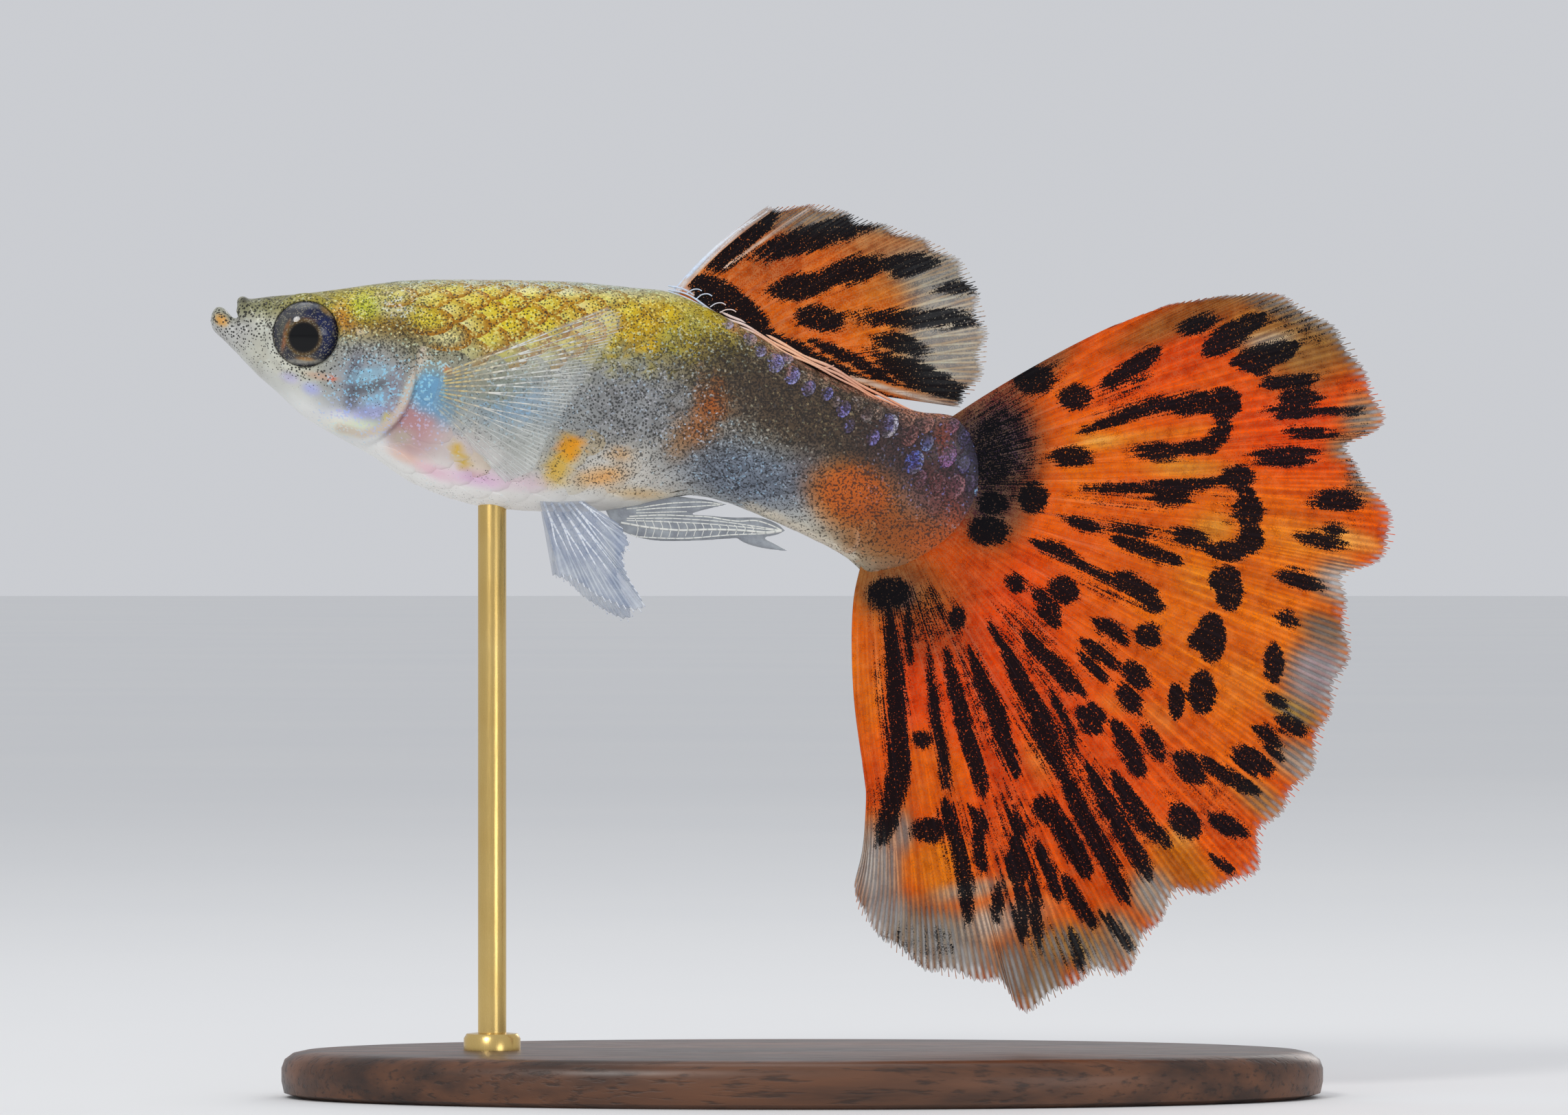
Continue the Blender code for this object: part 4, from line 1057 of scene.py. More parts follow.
def scale_colours(points, centres, radius, local, number):
    """Each point's screen colour from where it is, where its scale sits and where it is on the scale."""
    colour = 0.85 * paint_body(points) + 0.15 * paint_body(centres)
    rims, cores = lay_washes((0, 0), photo_of(centres, mirrored=True), RIM_ZONES).T
    rim = ease(0.62, 0.90, radius) * ease(-0.35, 0.35, local[:, 0] - 0.5 * local[:, 1])
    golden = ease(0.45, 0.8, rims)[:, None]
    edge = np.array(AMBER) * golden + colour * 0.72 * (1 - golden)
    whim = (0.5 + 0.5 * np.sin(7.3 * centres[:, 0] + 11.1 * centres[:, 2]))[:, None]
    bright = np.array(CREAM) * whim + np.array(YELLOW) * (1 - whim)
    core_tint = bright * golden + (colour * 0.75 + 64) * (1 - golden)
    colour = toward(colour, core_tint, ((1 - ease(0.1, 0.8, radius)) * cores)[:, None])
    colour = toward(colour, edge, (rim * rims)[:, None])
    for index, (*_, middle, border, strength) in enumerate(BRIGHT_SCALES):
        mine = number == index + 1
        ahead, out = local[mine, 0], radius[mine]
        share = (ease(0.50, 0.85, out) * ease(-0.6, 0.5, ahead))[:, None]
        turn = np.arctan2(local[mine, 1], ahead)[:, None]
        lobe = 1 - (0.5 - 0.5 * np.cos(turn - 2.4 * index)) * ease(0.1, 0.9, out)[:, None]
        fade = (0.25 + 0.75 * ease(-1.0, 0.2, ahead)[:, None]) * (0.55 * lobe + 0.45 * share)
        tint = np.array(middle) * (1 - share) + np.array(border) * share
        colour[mine] = toward(colour[mine], tint, strength * fade)
    return colour


def bright_seats():
    """A seat on each flank for every scale that the photo shows by itself."""
    found = []
    for index, (x, y, width, *_) in enumerate(BRIGHT_SCALES):
        nearness = CAMERA_REACH / (CAMERA_REACH - FLANK_MM)
        flat = PHOTO_MIDDLE + (np.array((x, y), float) - PHOTO_MIDDLE) / nearness
        along, _, up = drawn([flat])[0]
        for side in (-1, 1):
            hit = SKIN_TREE.ray_cast(Vector((along, side * 9.0, up)), Vector((0.0, -side, 0.0)))[0]
            if hit:
                size = (width * 0.48 * PHOTO_MM, width * 0.66 * PHOTO_MM)
                found.append((np.array(hit), size, np.array((1.0, 0.0, -0.45)), along / SCALES_TO,
                              side * (1.2 - up * 0.1), index + 1))
    return found


def make_scales(seats):
    """All the scales as one piece, each still a stiff plate."""
    found = [SKIN_TREE.find_nearest(Vector(seat[0])) for seat in seats]
    bed = new_piece("fish_scales", [hit[0] for hit in found], [])
    for name, values in (("normal_up", [hit[1] for hit in found]), ("backward", [seat[2] for seat in seats]),
                         ("centre", [hit[0] for hit in found]),
                         ("size", [(*seat[1], SCALE_LIFT_MM) for seat in seats]),
                         ("seat", [(seat[3], seat[4] / math.tau + 0.5, seat[5]) for seat in seats])):
        layer = bed.data.attributes.new(name, "FLOAT_VECTOR", "POINT")
        layer.data.foreach_set("vector", np.array([list(v) for v in values], np.float32).ravel())
    return grown_by(bed, scales_tree(skin_material), Plate=plate, Size=1.0, Variation=SIZE_VARIATION,
                    Seed=SIZE_SEED)


def read(obj, name, width):
    """An attribute's values as an array."""
    layer = obj.data.attributes[name]
    found = np.empty(len(layer.data) * width, np.float32)
    layer.data.foreach_get({1: "value", 3: "vector", 4: "color"}[width], found)
    return found.reshape(-1, width).astype(float) if width > 1 else found.astype(float)


def bend(points, lifts, number):
    """Every point at its own lift above the skin; the big bright scales stand a little higher."""
    bent = np.empty_like(points)
    for index, point in enumerate(points):
        spot, normal = SKIN_TREE.find_nearest(Vector(point))[:2]
        lift, clear = (1.0, 0.0) if number[index] < 0.5 else (1.6, 0.03)
        bent[index] = spot + normal * (lifts[index] * lift * SCALE_LIFT_MM + clear)
    return bent


scales = make_scales(seats + bright_seats())
number = read(scales, "seat", 3)[:, 2]
local = read(scales, "local", 4)[:, :3]
points = bend(points_of(scales), local[:, 2], number)
set_points(scales, points)
mirror, flecks = mirrors_and_flecks(points)
for index, (*_, middle, border, strength) in enumerate(BRIGHT_SCALES):
    mine = number == index + 1
    half_turn = np.arctan2(local[mine, 1], local[mine, 0]) / 2
    mirror[mine] = np.array(middle) * 0.75 + 64
    flecks[mine, 1] = 0.9 * strength * (0.4 + 0.6 * np.cos(half_turn - 1.2 * index) ** 2)
colours = scale_colours(points, read(scales, "centre", 3), read(scales, "rim", 1), local, number)
store_looks(scales, colours, mirror, flecks)
print("bent", len(points), "points of scales onto the skin")

# %% [markdown]
# ## A bake map for the scales
# A game or web export turns a material into a picture, which needs flat coordinates. Each scale is
# a tiny patch on an unrolled body, so that one scale's colour can't run into another's.

# %% Patches of the scales
PATCH = 0.003  # a patch's width as a share of the map


def patch_map(obj, seat, local):
    """A UV map named OFBake with one small patch for each scale."""
    layer = obj.data.uv_layers.new(name="OFBake")
    corners = np.empty(len(obj.data.loops), np.int32)
    obj.data.loops.foreach_get("vertex_index", corners)
    flat = 0.02 + 0.96 * seat[:, :2] + local[:, :2] * PATCH / 2
    layer.data.foreach_set("uv", flat[corners].astype(np.float32).ravel())


patch_map(scales, read(scales, "seat", 3), local)
placed(scales, "torso", skin_material)

# %% [markdown]
# ## The eyes
# A fish eye is a flattened glass ball. Behind the clear surface lies a black pupil in a thin ring
# of brassy gold, in an iris of deep blue and black. The iris is painted in the same way as the
# body, on a fine mesh, and a full clear coat makes the glass.

# %% Eye colours
# x, y, length, height, tilt, softness, colour, strength
EYE_WASHES = (
    (446, 488, 96, 96, 0, 0.08, (30, 32, 52), 1.0), (456, 476, 64, 54, 30, 0.6, (22, 28, 64), 0.9),
    (471, 490, 26, 60, 0, 0.7, (20, 34, 84), 0.8), (466, 512, 34, 24, -30, 0.7, (24, 30, 64), 0.8),
    (424, 466, 44, 30, -36, 0.6, (92, 92, 90), 0.8), (410, 490, 16, 50, 0, 0.6, (96, 96, 84), 0.7),
    (444, 448, 60, 9, 0, 0.6, (140, 142, 138), 0.7), (444, 529, 66, 9, 0, 0.6, (176, 172, 156), 0.8),
    (440, 520, 56, 12, 4, 0.6, (76, 72, 70), 0.7), (414, 497, 7, 34, 12, 0.7, (176, 100, 56), 0.7),
    (418, 478, 6, 22, 24, 0.6, (150, 100, 60), 0.7), (444, 525, 26, 6, 6, 0.6, (206, 140, 60), 0.6),
    (474, 456, 20, 8, 40, 0.6, (196, 150, 60), 0.7), (450, 468, 24, 6, 10, 0.6, (120, 80, 60), 0.6),
    (442, 494, 54, 54, 0, 0.12, (110, 84, 40), 0.95), (442, 494, 47, 47, 0, 0.10, (44, 34, 24), 0.95),
    (442, 494, 42, 42, 0, 0.06, (3, 3, 5), 1.0),
)
EYE_BLACK = (40, 40, 40)
PUPIL = (442, 494, 52, 52, 0)  # an oval, as in the table


def eye_finish():
    """Glass over a painted iris with brassy flecks."""
    look = Finish("glass eye", Coat_Weight=1.0, Coat_Roughness=0.02, Roughness=0.4, Coat_IOR=1.36,
                    Specular_IOR_Level=0.0)
    paint, iris = look.attribute("paint", "Color"), look.attribute("iris")
    pick = look.channel(look.cells(0.045, "Color"), "Red")
    glint = look.mix(pick.ease(0.72, 0.95) * iris * 0.6, paint, (0.42, 0.38, 0.28))
    clouds = look.noise(0.2).ease(0.4, 0.7) * iris * 0.5
    look.feed("Base Color", look.mix(clouds, glint, (0.01, 0.012, 0.02)))
    return look.material


def make_eye(side, name, material):
    """One painted eyeball; the iris number is 0 inside the pupil."""
    radii = (EYE_RADIUS, EYE_DEPTH, EYE_RADIUS)
    eye = ball(name + "_ball", (EYE_CENTRE[0], side * EYE_SIDE, EYE_CENTRE[1]), radii, 90, 160)
    pixels = photo_of(points_of(eye), mirrored=True)
    store(eye, "paint", to_light(lay_washes(EYE_BLACK, pixels, EYE_WASHES)))
    store(eye, "iris", ease(0.82, 0.95, oval_reach(pixels, *PUPIL)))
    placed(eye, "eye", material, name)


eye_material = eye_finish()
for side, hand in ((-1, "left"), (1, "right")):
    make_eye(side, "eye_" + hand, eye_material)

# %% [markdown]
# ## How a fin is built
# A fin is a film of skin stretched over bony rays that fork again and again towards the margin. It
# is made in two pieces. The film is one closed sheet from the same root line, margin and folds as
# the solid fin. The rays are thin tubes along it, forking where the real ones do, and they stand
# past the film by a hair, which gives the frayed edge.

# %% The surface of a fin
class Fin:
    """A fin's plan: root line, margin, how it sways to the side and how its rays bow and fork."""

    def __init__(self, name, root, margin, rays, forks, sway, bow=None, tooth=0.12, scallop=0.0):
        self.name, self.root, self.margin, self.rays, self.forks = name, root, margin, rays, forks
        self.sway, self.bow, self.tooth, self.scallop = sway, bow, tooth, scallop

    def at(self, u, v):
        """(along, side, up) at u from the leading edge to the trailing edge and v from root to margin."""
        u, v = np.broadcast_arrays(np.asarray(u, float), np.asarray(v, float))
        start, end = even_curve(self.root, u), even_curve(self.margin, u)
        ray = end - start
        spot = start + ray * v[..., None]
        if self.bow:
            across = np.stack((-ray[..., 1], ray[..., 0]), -1) / np.linalg.norm(ray, axis=-1)[..., None]
            spot = spot + across * self.bow(u, v)[..., None]
        return np.stack((spot[..., 0], self.sway(u, v), spot[..., 1]), -1)

    def length(self, u):
        return np.linalg.norm(even_curve(self.margin, u) - even_curve(self.root, u), axis=-1)

    def fork_offset(self, step, v):
        """How far fork number `step` has spread at v, in ray spacings."""
        return ease(*self.forks[step], v) * 0.25 / 2**step

    def edge(self, u):
        """Where the film ends, with a small notch between neighbouring ray tips."""
        broad, fine = (np.cos(math.tau * u * self.rays * number) for number in (1, 2 ** len(self.forks)))
        return 1 + (self.tooth * (fine - 1) / 2 + self.scallop * broad / 2) / self.length(u)


def store_pattern(obj, spots, u, v, paint):
    """Keeps a fin's colour, ink and clearness at every point."""
    colour, ink, clear = paint(photo_of(spots), u, v)
    store(obj, "paint", to_light(colour))
    store(obj, "ink", ink)
    store(obj, "clear", clear)


def make_film(fin, columns, rows, thickness, paint):
    """The film as one closed sheet; thickness is (at the margin, extra at the root, how far out)."""
    u, share = np.meshgrid(np.linspace(0, 1, columns), np.linspace(0, 1, rows), indexing="xy")
    v = share * fin.edge(u)
    middle = fin.at(u, v)
    normal = np.cross(np.gradient(middle, axis=1), np.gradient(middle, axis=0))
    normal /= np.linalg.norm(normal, axis=-1)[..., None] + 1e-12
    thin, more, reach = thickness
    half = ((thin + more * (1 - ease(0.0, reach, v))) / 2)[..., None] * normal
    faces = grid_faces(rows, columns)
    count = rows * columns
    index = np.arange(count).reshape(rows, columns)
    ring = np.concatenate((index[0, :-1], index[:-1, -1], index[-1, :0:-1], index[:0:-1, 0]))
    after = np.roll(ring, -1)
    walls = np.stack((ring, ring + count, after + count, after), -1)
    points = np.concatenate(((middle + half).reshape(-1, 3), (middle - half).reshape(-1, 3)))
    film = new_piece(fin.name + "_film", points, np.concatenate((faces, faces[:, ::-1] + count, walls)))
    tidied(film, 1e-7)
    u, v = np.tile(u.ravel(), 2), np.tile(v.ravel(), 2)
    store(film, "u", u)
    store(film, "v", v)
    if paint:
        store_pattern(film, np.tile(middle.reshape(-1, 3), (2, 1)), u, v, paint)
    return film


# %% Rays as Geometry Nodes
RAY_SIDES, RAY_SEED = 5, 11


def rays_tree(material):
    """Turns lines into tubes whose radius is read from the points."""
    tree, net = group_with("rays", (("Sides", "NodeSocketInt", 5), ("Thickness", "NodeSocketFloat", 1.0)))
    given = net.node("NodeGroupInput")
    ring = net.node("GeometryNodeCurvePrimitiveCircle", {"Resolution": given.out("Sides"), "Radius": 1.0},
                    mode="RADIUS")
    tube = net.node("GeometryNodeCurveToMesh", {
        "Curve": net.node("GeometryNodeMeshToCurve", {"Mesh": given.out("Geometry")}), "Profile Curve": ring,
        "Fill Caps": True, "Scale": named(net, "radius_mm", "FLOAT") * given.out("Thickness")})
    close_group(net, tube, material)
    return tree


class Strands:
    """Lines that grow into tubes, with numbers kept at their points."""

    def __init__(self):
        self.points, self.edges, self.values = [], [], {}

    def add(self, line, **values):
        """One more line; each value is a number for all of it, or one for each of its points."""
        base = len(self.points)
        self.points += list(line)
        self.edges += [(base + k, base + k + 1) for k in range(len(line) - 1)]
        for name, given in values.items():
            self.values.setdefault(name, []).extend(np.broadcast_to(given, len(line)))

    def grown(self, name, material, sides):
        """All the lines as one piece of tubes."""
        lines = new_piece(name, self.points, [], self.edges)
        for label, values in self.values.items():
            store(lines, label, np.array(values))
        return grown_by(lines, rays_tree(material), Sides=sides, Thickness=1.0)


def ray_strands(fin, root_radius, tip_radius, past=0.12, step=0.04):
    """Every ray and fork of a fin as a line."""
    strands = Strands()
    chance = np.random.default_rng(RAY_SEED)
    for ray in range(fin.rays):
        for code in range(2 ** len(fin.forks)):
            signs = [1 if code >> k & 1 else -1 for k in range(len(fin.forks))]
            first = max([0.0] + [fork[0] for fork, sign in zip(fin.forks, signs) if sign > 0])
            end = 1 + past * (0.4 + chance.random()) / fin.length((ray + 0.5) / fin.rays)
            v = np.linspace(first, end, max(4, int((end - first) / step)))
            offset = sum(sign * fin.fork_offset(k, v) for k, sign in enumerate(signs))
            u = np.clip((ray + 0.5 + offset) / fin.rays, 0.001, 0.999)
            radius = root_radius + (tip_radius - root_radius) * ease(0.0, 1.0, v)
            strands.add(fin.at(u, v), radius_mm=radius, u=u, v=v)
    return strands


def make_fin(fin, slot, film_grid, thickness, film_look, radii, ray_look, paint=None, **extent):
    """A fin's two pieces: its film, and its rays from their root radius to their tip radius."""
    placed(make_film(fin, *film_grid, thickness, paint), slot, film_look, fin.name)
    rays = ray_strands(fin, *radii, **extent).grown(fin.name.replace("_fin", "_rays"), ray_look, RAY_SIDES)
    if paint:
        store_pattern(rays, points_of(rays), read(rays, "u", 1), read(rays, "v", 1), paint)
    placed(rays, slot, ray_look)


# %% [markdown]
# ## The tail fin's plan
# The tail is the fish's banner: 24 rays that fork three times, in soft folds. Root, margin and folds
# are the solid fin's own numbers, so the film lies in the middle of it. The dorsal fin's plan is
# kept beside it.

# %% Plans of the tail and dorsal fins
CAUDAL_ROOT = (
    (31.1, -4.2), (31.9, -5.3), (32.1, -6.6), (31.9, -8.0), (31.2, -9.1), (29.9, -9.7), (28.6, -10.0),
    (27.5, -10.2),
)
CAUDAL_MARGIN = (
    (38.15, -0.25), (40.45, 0.65), (41.9, 0.95), (43.35, 1.1), (45.05, 1.15), (46.8, 0.25), (48.1, -0.85),
    (48.8, -2.2), (49.6, -3.7), (49.3, -4.6), (48.1, -5.3), (48.6, -6.4), (49.3, -7.2), (49.9, -8.4),
    (49.9, -9.4), (49.2, -10.2), (48.0, -10.8), (47.9, -11.9), (48.1, -13.8), (47.5, -15.7), (47.1, -16.9),
    (46.5, -18.8), (45.6, -20.3), (44.5, -21.5), (44.1, -23.3), (42.4, -24.1), (40.9, -24.3), (39.9, -25.6),
    (38.6, -27.6), (37.2, -27.7), (35.2, -28.9), (34.2, -29.1), (33.3, -28.0), (31.1, -27.7), (29.3, -26.9),
    (28.2, -25.9), (27.4, -24.9), (27.2, -23.8),
)
CAUDAL_HEM = (0.0, -0.27, -0.34, -0.31, -0.22, -0.05, 0.2, 0.4, 0.4, 0.3, 0.0)
DORSAL_ROOT = ((19.2, 0.75), (21.5, -0.55), (23.6, -1.75), (25.3, -2.75))
DORSAL_MARGIN = (
    (23.4, 4.75), (24.5, 4.80), (25.95, 4.85), (27.4, 4.3), (28.9, 3.9), (30.3, 3.35), (31.4, 2.7),
    (32.1, 1.9), (32.5, 0.7), (32.75, -0.6), (32.65, -1.8), (32.25, -2.8), (31.5, -3.6),
)


def caudal_sway(u, v):
    """Broad folds, finer ones towards the trailing edge, and a ripple for each ray."""
    broad = np.sin(math.tau * (1.25 * u + 0.1))
    folds = 0.32 * np.sin(math.tau * 5.5 * u) * ease(0.3, 0.7, u)
    fine = 0.07 * np.sin(math.tau * 24 * u) * v**2
    return (broad + folds) * np.maximum(v, 0) ** 1.6 + fine


def caudal_bow(u, v):
    """The rays bow upwards, and the lower edge is drawn in and out as its hem says."""
    hem = curve_at([(offset, 0.0) for offset in CAUDAL_HEM], v * (len(CAUDAL_HEM) - 1))[..., 0]
    return 0.7 * v * (1 - v) * (1 - u) + hem * ease(0.86, 1.0, u)


def dorsal_sway(u, v):
    return (0.9 * u * u + 0.15 * np.sin(2 * math.tau * u)) * v * v


def dorsal_bow(u, v):
    return v * (1 - v) * (1 - u)


caudal = Fin("caudal_fin", CAUDAL_ROOT, CAUDAL_MARGIN, 24, ((0.18, 0.45), (0.40, 0.68), (0.62, 0.88)),
             caudal_sway, caudal_bow, tooth=0.28, scallop=0.35)
dorsal = Fin("dorsal_fin", DORSAL_ROOT, DORSAL_MARGIN, 9, ((0.22, 0.5), (0.45, 0.75), (0.70, 0.95)),
             dorsal_sway, dorsal_bow, tooth=0.35, scallop=0.4)

# %% [markdown]
# ## The tail's pattern
# Black blotches on orange, longest along the rays, make the mosaic. Each is a tilted oval or a
# brush stroke with its place in the photo. Their signed distance is kept at every point, and the
# material breaks the edge into fine stipple, because the real edge is made of single dots. Between
# the blotches a haze of loose dots darkens the film without closing up.

# %% Blotches of the tail
# x, y, length, width, tilt in degrees (down to the right)
TAIL_SPOTS = (
    (1506, 556, 54, 38, 0), (1565, 581, 42, 32, 0), (1835, 538, 34, 22, 0), (1888, 560, 50, 19, -8),
    (1893, 584, 54, 28, 0), (1887, 602, 66, 19, 0), (1910, 634, 52, 14, 8), (1873, 667, 80, 25, 0),
    (1783, 590, 44, 42, 0), (1686, 659, 62, 22, 0), (1560, 668, 50, 25, 0), (1947, 732, 64, 24, 0),
    (1803, 699, 40, 34, 0), (1703, 727, 52, 24, 0), (1819, 747, 38, 46, 0), (1922, 790, 58, 20, 12),
    (1943, 775, 27, 16, 0), (1504, 728, 40, 42, 0), (1578, 767, 46, 16, 15), (1649, 775, 50, 13, 10),
    (1732, 786, 46, 22, 20), (1822, 788, 34, 40, 0), (1893, 848, 54, 24, 15), (1790, 860, 38, 62, 0),
    (1776, 848, 26, 30, 0), (1549, 862, 40, 34, 30), (1440, 775, 54, 40, 0), (1479, 852, 26, 22, 30),
    (1744, 475, 48, 24, -20), (1672, 928, 32, 32, 45), (1653, 987, 40, 24, 40), (1645, 1021, 44, 27, 60),
    (1589, 1050, 42, 36, 60), (1713, 1024, 22, 52, 0), (1751, 1012, 38, 60, 0), (1764, 931, 40, 68, 0),
    (1745, 936, 24, 24, 0), (1732, 1121, 50, 32, 50), (1824, 1111, 56, 32, 30), (1855, 968, 28, 52, 0),
    (1875, 906, 28, 20, 30), (1726, 1199, 52, 40, 50), (1786, 1205, 54, 24, 25), (1482, 1262, 34, 52, 0),
    (1394, 904, 22, 34, 0), (1679, 1085, 46, 20, 62), (1354, 1212, 46, 30, 0), (1525, 1184, 44, 34, 40),
    (1296, 866, 60, 40, 0), (1345, 1080, 26, 18, 0), (1445, 735, 40, 30, 0),
)
# width, points
TAIL_STROKES = (
    (22, ((1603, 566), (1640, 545), (1662, 530), (1684, 514))),
    (32, ((1756, 516), (1790, 492), (1836, 466))), (30, ((1798, 531), (1840, 522), (1884, 507))),
    (15, ((1574, 632), (1650, 604), (1720, 590), (1790, 586))),
    (26, ((1700, 596), (1745, 588), (1785, 588))),
    (20, ((1783, 606), (1780, 632), (1762, 652), (1700, 658))),
    (8, ((1900, 600), (1940, 602), (1982, 603))),
    (13, ((1574, 714), (1660, 715), (1740, 708), (1800, 700))),
    (20, ((1806, 704), (1816, 725), (1820, 745))), (16, ((1618, 787), (1670, 804), (1716, 821))),
    (24, ((1758, 804), (1796, 808), (1822, 790))), (17, ((1502, 792), (1540, 806), (1580, 828))),
    (8, ((1560, 820), (1620, 848), (1660, 870))), (26, ((1630, 838), (1660, 862), (1688, 888))),
    (17, ((1504, 862), (1522, 878), (1540, 896))), (18, ((1576, 936), (1602, 953), (1624, 972))),
    (20, ((1592, 908), (1620, 920), (1637, 938))), (15, ((1570, 952), (1590, 974), (1611, 992))),
    (17, ((1512, 888), (1528, 900), (1540, 912))),
    (24, ((1294, 880), (1302, 960), (1306, 1040), (1310, 1110), (1303, 1160))),
    (28, ((1308, 1070), (1309, 1120), (1298, 1180), (1286, 1226))),
    (8, ((1322, 880), (1322, 920), (1324, 965))),
    (15, ((1332, 1222), (1352, 1202), (1380, 1206), (1396, 1236), (1402, 1268), (1406, 1300),
        (1411, 1344))),
    (18, ((1376, 1170), (1380, 1190), (1390, 1222))),
    (12, ((1352, 955), (1362, 1045), (1371, 1095), (1378, 1150))),
    (20, ((1378, 950), (1392, 1008), (1405, 1064), (1418, 1106), (1432, 1160))),
    (18, ((1412, 1176), (1430, 1200), (1424, 1225), (1430, 1268))),
    (24, ((1414, 950), (1432, 1000), (1452, 1044), (1462, 1085), (1480, 1130))),
    (16, ((1466, 1176), (1483, 1213), (1480, 1240), (1484, 1265))),
    (13, ((1456, 1290), (1452, 1320), (1450, 1342))), (15, ((1484, 1290), (1487, 1320), (1488, 1366))),
    (26, ((1462, 942), (1486, 995), (1512, 1042), (1524, 1080), (1550, 1128))),
    (25, ((1540, 1110), (1572, 1179), (1596, 1226), (1618, 1266), (1640, 1312))),
    (28, ((1528, 1190), (1548, 1208), (1566, 1240), (1582, 1276))),
    (16, ((1508, 1228), (1526, 1266), (1540, 1312))), (16, ((1546, 1276), (1570, 1318), (1594, 1350))),
    (11, ((1598, 1328), (1628, 1360), (1648, 1384))), (13, ((1503, 1262), (1508, 1310), (1512, 1376))),
    (11, ((1558, 1356), (1566, 1384), (1574, 1412))),
    (22, ((1583, 1116), (1606, 1160), (1632, 1205), (1656, 1246), (1672, 1276))),
    (20, ((1620, 1128), (1642, 1164), (1668, 1200), (1702, 1234))),
    (11, ((1494, 925), (1520, 962), (1560, 1012))),
    (22, ((1490, 924), (1512, 952), (1546, 980), (1574, 1010))),
    (26, ((1624, 1056), (1644, 1092), (1660, 1130))), (17, ((1748, 1108), (1786, 1132), (1830, 1155))),
    (10, ((1845, 1016), (1868, 1030))), (18, ((1828, 1062), (1844, 1072), (1862, 1088))),
    (18, ((1858, 1048), (1880, 1060), (1900, 1070))), (10, ((1844, 1088), (1866, 1106))),
    (10, ((1762, 1250), (1780, 1262), (1796, 1272))), (14, ((1840, 562), (1850, 560), (1862, 556))),
    (9, ((1530, 1010), (1548, 1048), (1566, 1090))), (8, ((1440, 905), (1462, 950), (1478, 985))),
)
# the haze: x, y, length, height, tilt, how many dots
TAIL_HAZE = (
    (1335, 900, 170, 130, 0, 0.86), (1505, 560, 150, 70, -30, 0.80), (1455, 655, 150, 220, 0, 1.00),
    (1446, 660, 110, 170, 0, 1.16), (1640, 560, 150, 60, -25, 0.72), (1640, 590, 170, 50, -14, 0.70),
    (1640, 730, 260, 50, 0, 0.66), (1660, 780, 260, 60, 14, 0.68), (1600, 850, 190, 60, 28, 0.72),
    (1880, 472, 190, 70, 20, 0.74), (1500, 940, 90, 220, -34, 0.82), (1410, 1010, 90, 240, -14, 0.82),
    (1298, 1010, 76, 280, 0, 0.84), (1366, 1060, 44, 280, -6, 0.82), (1532, 1080, 100, 300, -30, 0.87),
    (1610, 1180, 90, 260, -32, 0.85), (1480, 1230, 110, 230, -14, 0.80), (1400, 1240, 100, 180, -10, 0.78),
    (1790, 720, 70, 150, 0, 0.66), (1330, 1380, 190, 90, 0, 0.70), (1745, 1160, 120, 200, -40, 0.62),
    (1890, 560, 130, 120, 0, 0.62), (1280, 1180, 60, 140, 0, 0.70), (1975, 660, 60, 300, 0, 0.66),
    (1540, 1380, 200, 90, 30, 0.66),
)


def ink_depth(pixels, spots, strokes):
    """How deep inside a blotch each pixel lies, in pixels; less than nothing outside."""
    depth = np.full(pixels.shape[:-1], -60.0)
    for *oval, tilt in spots:
        depth = np.maximum(depth, (1 - oval_reach(pixels, *oval, tilt)) * oval[-1] / 2)
    for width, line in strokes:
        away, share = distance_to(line, pixels)
        half = width / 2 * (0.42 + 0.58 * np.sin(math.pi * share) ** 0.5) - hollow(3, 0.0, 0.25, share)
        depth = np.maximum(depth, half - away)
    return depth


# %% Colours of the tail
TAIL_ORANGE, STEM_BROWN = (242, 104, 16), (158, 110, 60)
